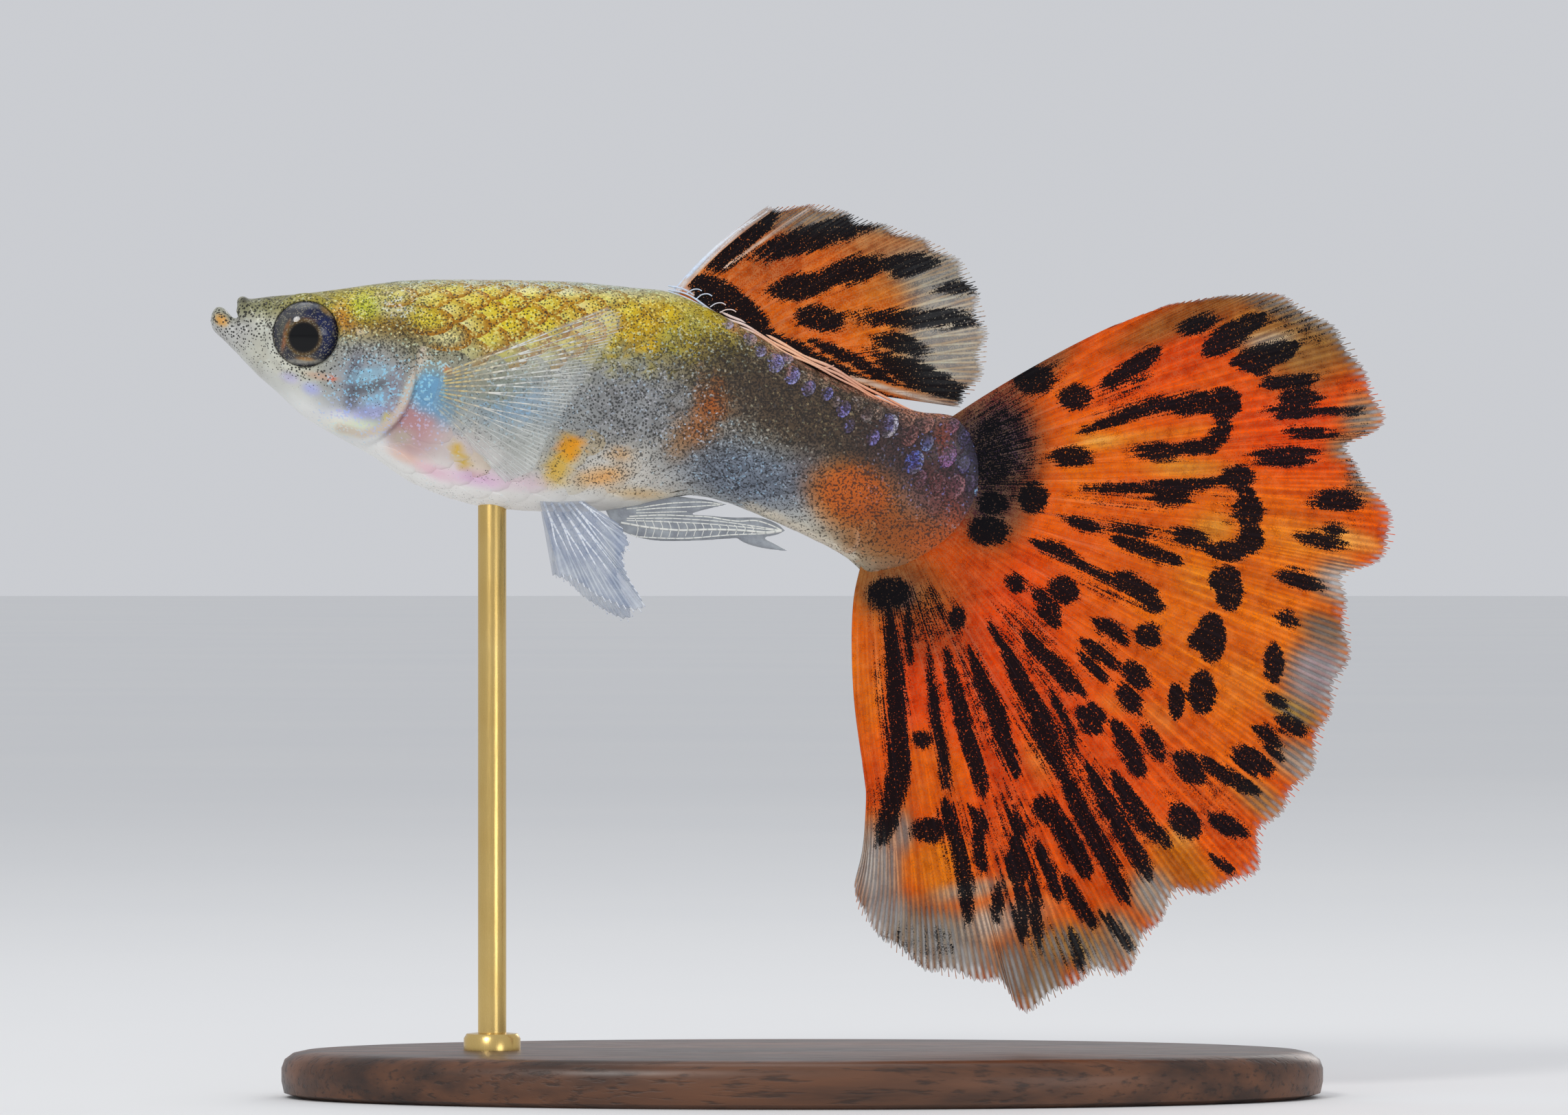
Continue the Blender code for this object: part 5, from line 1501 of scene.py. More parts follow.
# x, y, length, height, tilt, softness, colour, strength
TAIL_WASHES = (
    (1700, 620, 560, 330, 0, 0.6, (246, 104, 14), 0.8), (1800, 900, 330, 420, 0, 0.7, (244, 132, 22), 0.9),
    (1560, 640, 170, 190, 0, 0.7, (252, 128, 16), 0.8), (1380, 1000, 300, 330, 0, 0.7, (228, 76, 14), 0.8),
    (1460, 860, 160, 120, 40, 0.7, (236, 84, 14), 0.8), (1560, 1130, 260, 320, 50, 0.7, (236, 88, 16), 0.7),
    (1262, 960, 70, 260, 0, 0.5, (244, 132, 30), 0.9), (1350, 1130, 120, 120, 0, 0.6, (250, 122, 16), 0.8),
    (1365, 1265, 90, 90, 0, 0.5, (250, 140, 24), 0.9), (1700, 530, 330, 70, -26, 0.6, (226, 84, 14), 0.7),
    (1880, 620, 190, 160, 0, 0.7, (238, 84, 18), 0.8), (1860, 480, 230, 90, 20, 0.6, (172, 116, 52), 0.85),
    (1730, 462, 220, 46, -24, 0.6, (140, 92, 48), 0.8), (1900, 500, 130, 150, 30, 0.6, (150, 116, 68), 0.8),
    (1515, 535, 110, 44, -34, 0.7, (112, 84, 78), 0.7), (1450, 655, 120, 170, 0, 0.8, (46, 36, 78), 1.0),
    (1450, 730, 90, 110, 0, 0.7, (96, 56, 50), 0.8), (1420, 600, 70, 30, 30, 0.7, (120, 80, 70), 0.8),
    (1330, 860, 150, 90, 0, 0.8, (150, 84, 40), 0.8), (1350, 930, 130, 70, 0, 0.8, (150, 62, 26), 0.7),
    (1296, 862, 78, 60, 0, 0.5, (34, 40, 84), 0.8), (1320, 870, 24, 30, 0, 0.7, (60, 84, 170), 0.7),
    # the pale cream and light orange ovals on this line and the next four are painted highlights
    (1725, 685, 110, 24, 0, 0.9, (255, 184, 84), 0.8), (1660, 640, 170, 18, -8, 0.9, (252, 156, 56), 0.7),
    (1600, 645, 50, 18, 0, 0.9, (255, 190, 104), 0.7), (1765, 770, 56, 40, 15, 0.8, (252, 186, 84), 0.85),
    (1740, 850, 60, 40, 30, 0.9, (246, 164, 60), 0.5), (1510, 1115, 30, 60, -28, 0.9, (250, 166, 90), 0.5),
    (1690, 1050, 30, 50, -40, 0.9, (250, 170, 100), 0.5),
    (1620, 1030, 40, 24, 30, 0.9, (250, 164, 80), 0.4), (1805, 1000, 60, 60, 30, 0.9, (248, 156, 70), 0.5),
    (1970, 790, 90, 30, 15, 0.6, (252, 186, 110), 0.8), (1900, 790, 120, 60, 10, 0.8, (250, 160, 60), 0.6),
    (1722, 1225, 50, 24, 40, 0.7, (250, 190, 130), 0.7), (1500, 1330, 30, 100, 84, 0.6, (244, 96, 20), 0.7),
    (1725, 1265, 130, 60, 40, 0.7, (196, 128, 30), 0.8), (1700, 740, 160, 50, 0, 0.8, (250, 120, 20), 0.5),
)
# x, y, length, height, tilt, softness, (colour), how clear 0 to 1
TAIL_MARGINS = (
    (1870, 452, 220, 30, 22, 0.8, (150, 130, 104), 0.35),
    (1975, 500, 90, 50, 60, 0.8, (120, 104, 84), 0.45),
    (1845, 500, 70, 24, -10, 0.8, (226, 214, 190), 0.30),
    (1985, 610, 60, 60, 0, 0.8, (196, 176, 146), 0.40), (1960, 655, 50, 36, 0, 0.8, (170, 140, 110), 0.30),
    (1990, 700, 50, 60, 0, 0.8, (178, 146, 112), 0.35), (1950, 850, 70, 60, 15, 0.7, (214, 206, 200), 0.50),
    (1918, 985, 90, 110, 20, 0.6, (170, 164, 180), 0.55),
    (1930, 920, 70, 40, 25, 0.8, (140, 124, 110), 0.40),
    (1885, 1040, 80, 30, 25, 0.8, (178, 160, 90), 0.35),
    (1890, 1110, 70, 50, 30, 0.8, (190, 180, 168), 0.45),
    (1840, 1170, 90, 40, 35, 0.8, (196, 150, 90), 0.30),
    (1680, 1305, 70, 60, 50, 0.7, (196, 196, 184), 0.50),
    (1640, 1370, 90, 50, 50, 0.7, (206, 198, 176), 0.45),
    (1600, 1400, 70, 60, 60, 0.8, (196, 190, 172), 0.45),
    (1545, 1380, 60, 110, 80, 0.8, (180, 152, 90), 0.40),
    (1430, 1350, 50, 180, 76, 0.7, (236, 224, 210), 0.30),
    (1275, 1270, 70, 130, 0, 0.6, (206, 206, 204), 0.45),
    (1290, 1340, 80, 80, 0, 0.7, (190, 192, 194), 0.55),
    (1350, 1370, 110, 90, 0, 0.7, (150, 148, 136), 0.55),
    (1410, 1300, 26, 120, 80, 0.8, (226, 210, 190), 0.30),
    (1400, 1400, 110, 60, 0, 0.7, (176, 174, 166), 0.55),
    (1475, 1420, 50, 90, 0, 0.7, (150, 140, 130), 0.50),
    (1520, 1440, 60, 90, 0, 0.7, (150, 138, 110), 0.50),
    (1315, 1215, 30, 60, 0, 0.8, (200, 190, 184), 0.30),
    (1255, 1250, 30, 90, 10, 0.7, (228, 226, 220), 0.35),
)


def film_colour(start, pixels, washes, margins, lines=()):
    """Washes, over them the clear margins' own tints, and lines over both."""
    return lay_washes(start, pixels, (*washes, *((*row[:7], 0.9) for row in margins)), lines)


def clearness(pixels, margins, gain):
    """How clear the film is at each pixel, from the margin that makes it clearest."""
    clear = np.zeros(len(pixels))
    for *oval, softness, tint, share in margins:
        clear = np.maximum(clear, inside(oval_reach(pixels, *oval), softness) * share * gain)
    return clear


def paint_tail(pixels, u, v):
    """Screen colour, ink depth and clearness of the tail."""
    colour = film_colour(TAIL_ORANGE, pixels, TAIL_WASHES, TAIL_MARGINS)
    body = lay_washes(STEM_BROWN, pixels, BODY_WASHES)
    colour = toward(colour, body, (1 - ease(0.02, 0.20, v))[:, None])
    clear = np.maximum(clearness(pixels, TAIL_MARGINS, 1.3), 0.30 * ease(0.965, 1.0, v))
    depth = ink_depth(pixels, TAIL_SPOTS, TAIL_STROKES) + 2.5
    for *oval, share in TAIL_HAZE:
        cover = 1 - ease(0.4, 1.3, oval_reach(pixels, *oval))
        depth = np.maximum(depth, 11 * (cover * share - 0.97))
    grey = colour.mean(-1, keepdims=True)
    return grey + (colour - grey) * 1.15, np.clip(depth / 10, -2, 2), np.clip(clear, 0, 1)


print(len(TAIL_SPOTS), "blotches and", len(TAIL_STROKES), "strokes on the tail")

# %% [markdown]
# ## The film's finish
# The film is thin and satin. Fine lines follow the forking rays: folding the ray coordinate about
# each fork with absolute values gives every branch from one sum, with no picture. The stipple at a
# blotch's edge is a field of round specks that shrink as the ink runs out, pulled into wisps along
# the rays by noise in the fin's own coordinates.

# %% Film material
INK = rgb(7, 7, 12)
GRAIN_MM = 0.06
SPECK_MM = 0.062


def forked(look, fin):
    """0 between the rays and 1 on them: the ray coordinate folded about each fork."""
    u, v = look.attribute("u"), look.attribute("v")
    across = ((u * fin.rays).fraction() - 0.5).size()
    broad = 1 - across.ease(0.02, 0.10)
    for step, (start, end) in enumerate(fin.forks):
        across = (across - v.ease(start, end) * (0.25 / 2**step)).size()
    fold = 0.5 / 2 ** len(fin.forks)
    return 1 - (across / fold).ease(0.15, 0.85), broad * (1 - v.ease(0.2, 0.5))


def streaks(look, fin, number=5.0):
    """Long soft streaks that run with the rays, a number of them to each ray."""
    across, out = look.attribute("u") * (fin.rays * number), look.attribute("v") * 3.0
    place = look.node("ShaderNodeCombineXYZ", {"X": across, "Y": out})
    return look.node("ShaderNodeTexNoise", {"Vector": place, "Scale": 1.0, "Detail": 3.0})


def film_finish(fin, name, dust=0.22):
    """A painted film; dust is how many pale grains lie over the colour."""
    look = Finish(name, Roughness=0.5, Specular_IOR_Level=0.06, Coat_Weight=0.02, Coat_Roughness=0.3)
    raw = look.attribute("paint", "Color")
    paint = look.mix(streaks(look, fin).ease(0.40, 0.62) * 0.55, raw,
                       look.tinted(raw, (0.62, 0.38, 0.25)))
    ink, clear, v = (look.attribute(name) for name in ("ink", "clear", "v"))
    line, stem = forked(look, fin)
    grain, wobble, patches = look.noise(GRAIN_MM, 2.0), look.noise(0.45, 2.0), look.noise(1.6)
    tone = look.mix(patches.ease(0.35, 0.65) * 0.5, paint, look.tinted(paint, (0.80, 0.52, 0.40)))
    # Between the rays the film is darkened. In its clear parts the darkening goes nearly to black: painted
    # shade for a dark background seen through the film.
    gap, see_through_shade = look.tinted(tone, (0.52, 0.40, 0.36)), look.tinted(paint, (0.20, 0.19, 0.19))
    between = look.mix(clear.ease(0.05, 0.5), gap, see_through_shade)
    depth = 0.25 + v.ease(0.3, 1.0) * 0.35 + clear.ease(0.05, 0.4) * 0.4
    ribbed_tone = look.mix((1 - line) * depth, tone, between)
    fleck = (grain + wobble * 0.35 - 0.18).ease(0.50, 0.58) * (1 - clear * 0.5)
    flecked = look.mix(fleck * 0.50, ribbed_tone, look.tinted(paint, (0.24, 0.08, 0.06)))
    chalk = look.mix(0.35, paint, (0.95, 0.60, 0.25))
    milky = look.mix((grain - wobble * 0.4).ease(0.28, 0.36) * dust, flecked, chalk)
    pale = look.mix(stem * v.ease(0.10, 0.30) * 0.22, milky, look.mix(0.5, paint, (0.95, 0.55, 0.30)))
    reach = (ink + (wobble - 0.5) * 0.8 + (streaks(look, fin, 12.0) - 0.5) * 2.2).ease(-0.85, 0.50)
    edge = 1 - (look.cells(SPECK_MM) - reach * 0.85 + (grain - 0.5) * 0.5).ease(-0.06, 0.06)
    look.feed("Base Color", look.mix(edge * 0.99, pale, look.mix(line * 0.30, INK, rgb(24, 23, 32))))
    frayed = (v + (wobble - 0.5) * 0.05).ease(0.955, 1.0)
    thin = (clear + frayed * 0.7).math("MINIMUM", 1.0)
    look.feed("Alpha", 1 - thin * (1 - line * 0.65) * (1 - edge * 0.6) * 0.78)
    look.feed("Roughness", 0.45 + grain * 0.2)
    look.bump(line * 0.8 + grain * 0.2, 0.03, 0.7)
    return look.material


def ray_finish(name, lift, dark=(0.70, 0.42, 0.30)):
    """A bony ray: the film's own colour made lighter, dark only where ink covers it."""
    look = Finish(name, Roughness=0.42, Specular_IOR_Level=0.3)
    paint, grain = look.attribute("paint", "Color"), look.noise(GRAIN_MM, 2.0)
    edge = (look.attribute("ink") + (grain - 0.5) * 3.0).ease(-0.10, 0.16)
    bone = look.mix(look.attribute("v").ease(0.08, 0.35) * lift, paint, (0.90, 0.78, 0.62))
    tone = look.mix(look.noise(0.12).ease(0.35, 0.65), look.tinted(paint, dark), bone)
    look.feed("Base Color", look.mix(edge * 0.95, tone, INK))
    return look.material


# %% Tail fin pieces
ray_material = ray_finish("fin ray", 0.12)
make_fin(caudal, "caudal_fin", (720, 62), (0.12, 0.42, 0.35), film_finish(caudal, "tail film"),
         (0.080, 0.018), ray_material, paint_tail, past=0.05, step=0.04)

# %% [markdown]
# ## The dorsal fin
# It is built as the tail is, with nine forking rays. A white leading edge, a black bar over its
# base and a pale streaky rear edge set it off.

# %% Pattern of the dorsal fin
DORSAL_ORANGE, DORSAL_WHITE = (222, 114, 30), (236, 242, 248)
# the tables are laid out as the tail's are
DORSAL_SPOTS = (
    (1080, 346, 122, 50, -42), (1190, 347, 160, 30, -17), (1165, 420, 76, 30, -8), (1240, 397, 82, 30, -15),
    (1325, 388, 62, 24, -8), (1195, 467, 56, 28, 10), (1340, 467, 140, 20, 0), (1310, 504, 56, 22, 15),
    (1345, 555, 140, 34, 27), (1400, 420, 50, 14, -6),
)
DORSAL_STROKES = (
    (48, ((1012, 412), (1050, 440), (1085, 470), (1112, 490))),
    (26, ((1112, 490), (1180, 530), (1260, 570), (1390, 600))),
    (10, ((1180, 500), (1250, 530), (1320, 575))),
)
DORSAL_WASHES = (
    (1180, 400, 260, 200, 0, 0.6, (234, 108, 12), 0.9), (1120, 360, 120, 90, -40, 0.7, (190, 88, 26), 0.8),
    (1270, 470, 170, 130, 10, 0.7, (236, 120, 12), 0.8), (1215, 500, 120, 40, 22, 0.6, (242, 110, 8), 0.8),
    (1290, 360, 160, 50, 10, 0.8, (186, 128, 84), 0.8), (1300, 420, 90, 40, 0, 0.8, (222, 150, 70), 0.6),
)
DORSAL_MARGINS = (
    (1390, 470, 140, 260, 0, 0.5, (206, 212, 202), 0.50),
    (1360, 400, 130, 60, 10, 0.7, (176, 178, 164), 0.45),
    (1370, 520, 130, 60, 10, 0.7, (206, 206, 186), 0.40),
    (1300, 330, 170, 30, 14, 0.8, (150, 140, 120), 0.45),
    (1196, 322, 170, 40, 0, 0.8, (150, 132, 110), 0.45),
)
DORSAL_LINES = (
    (5, 0.8, (240, 234, 230), 0.9, ((1055, 393), (1100, 360), (1150, 325), (1180, 306))),
    (9, 0.9, (232, 234, 230), 0.9, ((1240, 552), (1290, 568), (1340, 582), (1398, 597))),
    (9, 0.9, (230, 226, 232), 0.8, ((1000, 425), (1060, 460), (1120, 500))),
)


def paint_dorsal(pixels, u, v):
    """Screen colour, ink depth and clearness of the dorsal fin."""
    colour = film_colour(DORSAL_ORANGE, pixels, DORSAL_WASHES, DORSAL_MARGINS, DORSAL_LINES)
    depth = ink_depth(pixels, DORSAL_SPOTS, DORSAL_STROKES) + 4
    for width, *_, line in DORSAL_LINES[:2]:
        away, share = distance_to(line, pixels)
        depth = np.minimum(depth, (away - width * ease(-0.3, 0.5, share)) * 2.0)
    leading = 1 - ease(0.022, 0.045, u)
    ink = np.where(leading > 0.5, -1.5, np.clip(depth / 10, -2, 2))
    return (toward(colour, DORSAL_WHITE, leading[:, None]), ink,
            np.clip(clearness(pixels, DORSAL_MARGINS, 1.2), 0, 1))


make_fin(dorsal, "dorsal_fin", (330, 70), (0.11, 0.30, 0.35), film_finish(dorsal, "dorsal film", dust=0.4),
         (0.062, 0.018), ray_material, paint_dorsal, past=0.10, step=0.05)

# %% [markdown]
# ## The sheath at the dorsal fin's base
# Where the fin leaves the back, small scales and tendons form a raised pale cord, bluish white in
# front and peach behind. Three thin strands lie side by side along it on each flank, a few short
# hairs curl from them onto the fin, and a white spine runs up its leading edge. All are grown from
# lines by the same ray tree.

# %% Sheath
SHEATH = (
    (973, 419), (1000, 427), (1037, 450), (1062, 464), (1092, 476), (1150, 510), (1215, 541), (1280, 578),
    (1335, 603),
)
SHEATH_COLOURS = (
    (1060, 350, 190, 190, 0, 0.5, (232, 240, 250), 1.0),
    (1000, 425, 140, 100, 0, 0.5, (214, 230, 252), 1.0), (1075, 470, 70, 60, 0, 0.8, (246, 226, 220), 1.0),
    (1150, 515, 120, 70, 0, 0.8, (255, 204, 168), 1.0), (1300, 590, 180, 90, 0, 0.8, (244, 176, 140), 1.0),
)
SHEATH_PEACH = (226, 180, 160)
# each cord's drop below the line in pixels, its place out from the middle plane and its radius
SHEATH_CORDS = ((0, 0.10, 0.075), (5, 0.24, 0.06), (9, 0.36, 0.05))
# short hairs that curl from the sheath onto the fin's base
CURLS = (
    ((1000, 430), (1008, 425), (1016, 424), (1023, 427)),
    ((1014, 438), (1022, 432), (1031, 431), (1038, 435)),
    ((1034, 450), (1042, 445), (1051, 444), (1058, 448)),
    ((1048, 458), (1057, 454), (1066, 454), (1073, 458)),
    ((1152, 516), (1180, 533), (1204, 538), (1218, 533)),
)


def sheath_strands():
    """The cords along the fin's base, the hairs and the white spine, as lines."""
    strands, share = Strands(), np.linspace(0, 1, 90)
    for side in (-1, 1):
        for drop, out, radius in SHEATH_CORDS:
            wave = 0.03 * np.sin(share * 31 + drop)
            line = drawn(even_curve(SHEATH, share) + (0, drop))
            line += np.stack((0 * wave, side * (out + wave), wave), -1)
            strands.add(line, radius_mm=radius * np.sin(math.pi * (0.04 + 0.92 * share)) ** 0.4)
        for curl in CURLS:
            strands.add(drawn(even_curve(curl, share[::6]), side * 0.26), radius_mm=0.024)
    strands.add(dorsal.at(0.006, share * 0.96), radius_mm=0.120 - 0.070 * share)
    return strands


cord = ray_finish("dorsal sheath", 0.6, (0.94, 0.88, 0.84))
sheath = sheath_strands().grown("dorsal_sheath", cord, 8)
pixels = photo_of(points_of(sheath), mirrored=True)
store(sheath, "paint", to_light(lay_washes(SHEATH_PEACH, pixels, SHEATH_COLOURS)))
store(sheath, "ink", np.full(len(pixels), -2.0))
placed(sheath, "dorsal_fin", cord)

# %% [markdown]
# ## The clear fins
# The paired fins have almost no pigment: a clear film with milky streaks, over glinting rays in
# the breast fins and bluish jointed ones in the belly fins. Alpha lets the flank show through, and
# the rays are what the eye reads.

# %% Clear fins
PECTORAL_ROOT = ((9.5, -2.35), (9.4, -3.5))
PECTORAL_MARGIN = (
    (16.9, 0.5), (17.45, -0.2), (16.4, -1.8), (15.3, -3.5), (14.4, -5.0), (13.8, -6.3), (12.6, -6.9),
)
PELVIC_ROOT = ((13.8, -7.2), (15.3, -7.3))
PELVIC_MARGIN = (
    (14.8, -10.75), (15.5, -10.95), (16.4, -11.6), (17.9, -12.2), (18.3, -11.95), (17.65, -10.8),
    (17.45, -9.9), (17.7, -9.4), (17.3, -8.6),
)
PELVIC_PIVOT = (14.5, -7.6)
FAR_PELVIC_DROOP_DEG = 7.0
JOINTS = 7.0 / 0.42  # along each ray


def clear_finish(fin, tint, deep, alpha, ray_alpha):
    """A clear film, milkier and more solid towards its trailing edge."""
    look = Finish(fin.name + " film", Specular_IOR_Level=0.4, Coat_Weight=0.15, Coat_Roughness=0.2)
    line = forked(look, fin)[0]
    haze = look.noise(0.9, 4.0)
    trailing = look.attribute("u").ease(0.35, 1.0) * look.attribute("v").ease(0.3, 0.9)
    look.feed("Base Color", look.mix(haze.ease(0.3, 0.7) * 0.6 + line * 0.4, deep, tint))
    look.feed("Alpha", alpha + line * (ray_alpha - alpha) + haze.ease(0.5, 0.8) * 0.08 + trailing * 0.16)
    look.feed("Roughness", 0.28 + haze * 0.2)
    look.bump(line, 0.03, 0.7)
    return look.material


def glassy_ray_finish():
    """The breast fin's rays: golden at the root, glinting in dashes, dark towards the upper tip."""
    look = Finish("glassy ray", Roughness=0.22, Specular_IOR_Level=0.7, Coat_Weight=0.5)
    u, v = look.attribute("u"), look.attribute("v")
    dash = look.noise(0.33, 1.0).ease(0.45, 0.60)
    bone = look.mix(v.ease(0.15, 0.5), rgb(232, 206, 132), rgb(240, 240, 234))
    tip = v.ease(0.55, 0.85) * (1 - u.ease(0.20, 0.45))
    look.feed("Base Color", look.mix(tip * (1 - dash) * 0.8, bone, rgb(56, 48, 28)))
    look.feed("Alpha", (0.18 + dash * 0.75) * (1 - u.ease(0.45, 0.9) * 0.75) * (1 - v.ease(0.7, 1.0) * 0.5))
    return look.material


def jointed_ray_finish(name, light, dark):
    """Rays in short bright segments with darker joints."""
    look = Finish(name, Roughness=0.3, Specular_IOR_Level=0.6, Coat_Weight=0.3)
    gap = ((look.attribute("v") * JOINTS).fraction() - 0.5).size().ease(0.36, 0.48)
    look.feed("Base Color", look.mix(gap * 0.6 + look.noise(0.3) * 0.3, light, dark))
    return look.material


def turned(points, pivot, degrees):
    """(along, up) points turned about a pivot, positive swinging the tips down."""
    c, s = math.cos(math.radians(-degrees)), math.sin(math.radians(-degrees))
    along, up = (np.array(points) - pivot).T
    return np.array(pivot) + np.stack((c * along - s * up, s * along + c * up), -1)


def pectoral_plan(side, hand):
    """The breast fin, cupped away from the flank."""
    def sway(u, v):
        return side * (2.4 + 2.8 * (1 - (1 - np.clip(v, 0, 1.2)) ** 2) * (1 - 0.25 * u))
    return Fin("pectoral_fin_" + hand, PECTORAL_ROOT, PECTORAL_MARGIN, 13, ((0.35, 0.7), (0.65, 0.95)), sway,
               tooth=0.1)


def pelvic_plan(side, hand):
    """The belly fin; the far one hangs a little lower."""
    def sway(u, v):
        return side * (0.75 + 1.25 * v * (1 - 0.3 * u))
    margin = turned(PELVIC_MARGIN, PELVIC_PIVOT, FAR_PELVIC_DROOP_DEG if side > 0 else 0.0)
    return Fin("pelvic_fin_" + hand, PELVIC_ROOT, margin, 6, ((0.25, 0.6), (0.55, 0.9)), sway)


MILK, SMOKE, ICE, SLATE = rgb(224, 228, 224), rgb(172, 178, 176), rgb(216, 222, 228), rgb(128, 146, 178)
glassy_rays = glassy_ray_finish()
bone_rays = jointed_ray_finish("clear fin ray", rgb(244, 244, 238), rgb(170, 176, 172))
blue_rays = jointed_ray_finish("pelvic ray", rgb(236, 240, 246), rgb(150, 166, 196))
for side, hand in ((-1, "left"), (1, "right")):
    plan = pectoral_plan(side, hand)
    make_fin(plan, "clear_fin", (200, 50), (0.05, 0.25, 0.3), clear_finish(plan, MILK, SMOKE, 0.10, 0.22),
             (0.050, 0.018), glassy_rays, step=0.06)
    plan = pelvic_plan(side, hand)
    make_fin(plan, "pelvic_fin", (160, 50), (0.06, 0.25, 0.3), clear_finish(plan, ICE, SLATE, 0.28, 0.55),
             (0.07, 0.022), blue_rays, step=0.06)

# %% [markdown]
# ## The rod-shaped anal fin
# In a male the anal fin is a slender rod of long rays, with a short upper vane and a soft hood at
# its tip. Its blade is a thin ribbed form, clear as glass, with white jointed rays on both faces.

# %% Anal fin
ANAL_FORMS = (
    (((16.60, -7.30), (16.60, -7.30), 0.0), ((17.70, -7.40), (16.60, -7.80), 0.26), ((18.30, -7.95),
        (17.20, -8.75), 0.24), ((19.20, -8.20), (18.50, -9.25), 0.22), ((20.60, -8.20),
        (20.30, -9.30), 0.20), ((22.00, -8.30), (22.00, -9.20), 0.20), ((23.20, -8.32),
        (23.20, -9.15), 0.18), ((23.90, -8.56), (23.90, -9.05), 0.14), ((24.30, -8.87),
        (24.30, -8.87), 0.0)),
    (((18.00, -7.15), (18.00, -7.15), 0.0), ((18.80, -7.25), (18.40, -8.10), 0.18), ((20.10, -7.45),
        (19.90, -8.20), 0.16), ((21.10, -7.58), (20.90, -7.98), 0.12), ((21.85, -7.76),
        (21.85, -7.76), 0.0)),
    (((21.90, -8.90), (21.90, -8.90), 0.0), ((22.70, -8.90), (22.50, -9.35), 0.17), ((23.50, -9.25),
        (23.30, -9.60), 0.16), ((24.45, -9.75), (24.45, -9.75), 0.0)),
)
ANAL_RAYS = (  # radius, points in the photo's pixels
    (1.7, ((904, 764), (945, 771), (989, 775), (1033, 774), (1077, 775), (1115, 778), (1138, 776))),
    (1.0, ((918, 781), (935, 785), (996, 787), (1062, 782), (1115, 780), (1137, 777))),
    (1.1, ((916, 755), (960, 753), (995, 754), (1033, 756), (1057, 760), (1077, 762), (1100, 761),
        (1121, 767), (1138, 775))),
    (0.9, ((912, 758), (975, 758), (1033, 761), (1077, 766), (1136, 775))),
    (0.9, ((912, 761), (975, 763), (1033, 766), (1077, 770), (1136, 776))),
    (1.0, ((912, 744), (932, 742), (975, 736), (1019, 734), (1052, 737))),
    (1.0, ((926, 746), (960, 743), (1004, 741), (1048, 738))), (0.8, ((926, 750), (960, 749), (1000, 748))),
)
CROSS_BARS = (925, 1105, 12)  # first, last and step, in pixels along
BLADE_CELL_MM = 0.05


def anal_strands(blade):
    """The long rays and their little cross bars, laid on the near and the far face of the blade."""
    strands = Strands()

    def lay(pixels, count, radius, side):
        line = drawn(even_curve(pixels, np.linspace(0, 1, count)))
        for spot in line:
            hit = blade.ray_cast(Vector((spot[0], side * 3.0, spot[2])), Vector((0.0, -side, 0.0)))[0]
            spot[1] = hit.y if hit else side * 0.05
        strands.add(line, radius_mm=radius * PHOTO_MM, v=np.arange(count) / (count - 1))

    for side in (-1, 1):
        for radius, line in ANAL_RAYS:
            lay(line, 40, radius, side)
        for x in range(*CROSS_BARS):
            back = x - CROSS_BARS[0]
            bar = ((x, 759 + 0.06 * back), (x + 3, 767 + 0.02 * back), (x + 4, 774),
                   (x + 1, 786 - 0.03 * back))
            lay(bar, 9, 0.7, side)
    return strands


def blade_part(ribs):
    return closed_form("anal_fin_blade", lambda where, turn: ribbed(ribs, where, turn), len(ribs) - 1, 70, 40)


def make_anal_fin():
    """The clear blade and, on both its faces, the jointed rays."""
    look = Finish("anal fin film", Specular_IOR_Level=0.5, Coat_Weight=0.3, Roughness=0.3)
    haze = look.noise(0.7, 4.0)
    look.feed("Base Color", look.mix(haze.ease(0.35, 0.7), rgb(88, 98, 114), rgb(158, 166, 172)))
    look.feed("Alpha", 0.45 + haze * 0.2)
    blade = wrapped([blade_part(ribs) for ribs in ANAL_FORMS], BLADE_CELL_MM)
    surface = surface_of(blade)
    placed(blade, "anal_fin", look.material, "anal_fin")
    placed(anal_strands(surface).grown("anal_rays", bone_rays, 6), "anal_fin", bone_rays)


make_anal_fin()

# %% [markdown]
# ## The stand
# The fish swims, so it needs something to hold it: a dark oiled oval of wood and one thin polished
# brass rod that disappears into the belly. Both are turned shapes. The wood's grain is stretched
# noise along the base's length, with fine pores, and the brass is brushed along its height.

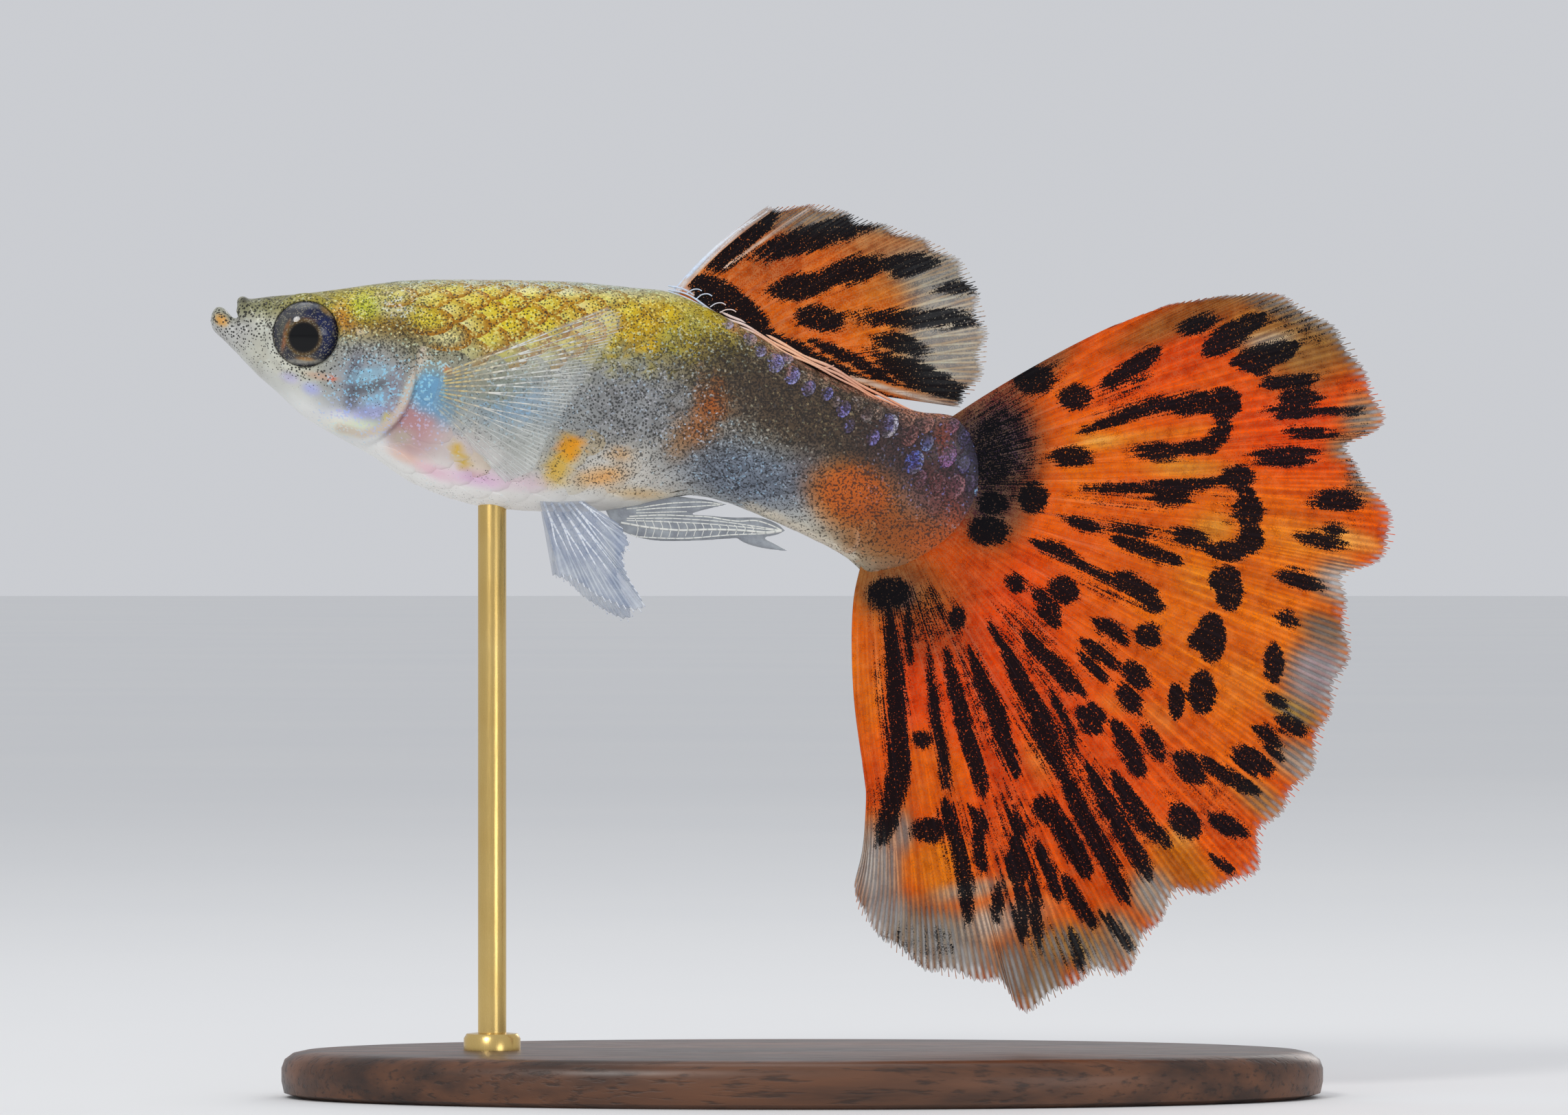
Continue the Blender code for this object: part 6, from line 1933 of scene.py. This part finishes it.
# %% Stand
BASE_LENGTH, BASE_WIDTH, BASE_THICKNESS = 44.0, 22.0, 2.0
BASE_EDGE = (
    (0.0, 0.0), (0.965, 0.0), (0.995, 0.10), (1.0, 0.35), (1.0, 0.62), (0.994, 0.80), (0.978, 0.93),
    (0.955, 0.985), (0.93, 1.0), (0.0, 1.0),
)
ROD_RADIUS = 0.6
ROD_ALONG = 11.9
ROD_TOP = LIP_HEIGHT - 6.5  # inside the belly
ROD_PROFILE = ((0.0, 0.0), (2.0, 0.0), (2.0, 0.020), (1.8, 0.028), (1.0, 0.030), (1.0, 0.985), (0.8, 1.0),
               (0.0, 1.0))
SHARP_DEG = 35


def wood_finish():
    look = Finish("dark oiled wood", Coat_Weight=0.25, Coat_Roughness=0.25, Specular_IOR_Level=0.4)
    long = look.stretched((0.10, 1.0, 1.0))
    grain, pores = look.noise(1.6, 5.0, long), look.noise(0.22, 3.0, long)
    tone = look.mix(grain.ease(0.30, 0.70), rgb(48, 28, 17), rgb(104, 64, 38))
    look.feed("Base Color", look.mix(pores.ease(0.52, 0.70) * 0.7, tone, rgb(26, 15, 9)))
    look.feed("Roughness", 0.34 + pores * 0.25)
    look.bump(grain * 0.4 - pores.ease(0.5, 0.7), 0.03, 0.6)
    return look.material


def brass_finish():
    look = Finish("polished brass", Metallic=1.0)
    fine = look.noise(0.05, 3.0, look.stretched((1.0, 1.0, 0.06)))
    look.feed("Base Color", look.mix(look.noise(2.5), rgb(206, 170, 96), rgb(226, 196, 128)))
    look.feed("Roughness", 0.18 + fine * 0.16)
    look.bump(fine, 0.004, 0.5)
    return look.material


def make_turned(name, node, material, profile, sides, centre, radii):
    """A turned piece from (radius, height) shares; centre and radii are in the frame's millimetres."""
    out, up = np.array(profile).T[..., None]
    turn = around(sides)
    rings = np.stack((centre[0] + out * radii[0] * np.cos(turn), centre[1] + out * radii[1] * np.sin(turn),
                      centre[2] + up * radii[2] + 0 * turn), -1)
    piece = shell_of(name, rings, 1e-4)
    piece.data.transform(Matrix.Translation((HALF_LENGTH, 0.0, -LIP_HEIGHT)))
    placed(piece, node, material, node)
    piece.data.set_sharp_from_angle(angle=math.radians(SHARP_DEG))


make_turned("stand_base_wood", "stand_base", wood_finish(), BASE_EDGE, 160, (0.0, 0.0, 0.0),
            (BASE_LENGTH / 2, BASE_WIDTH / 2, BASE_THICKNESS))
make_turned("stand_rod_brass", "stand_rod", brass_finish(), ROD_PROFILE, 48,
            (ROD_ALONG - HALF_LENGTH, 0.0, BASE_THICKNESS),
            (ROD_RADIUS, ROD_RADIUS, ROD_TOP - BASE_THICKNESS))
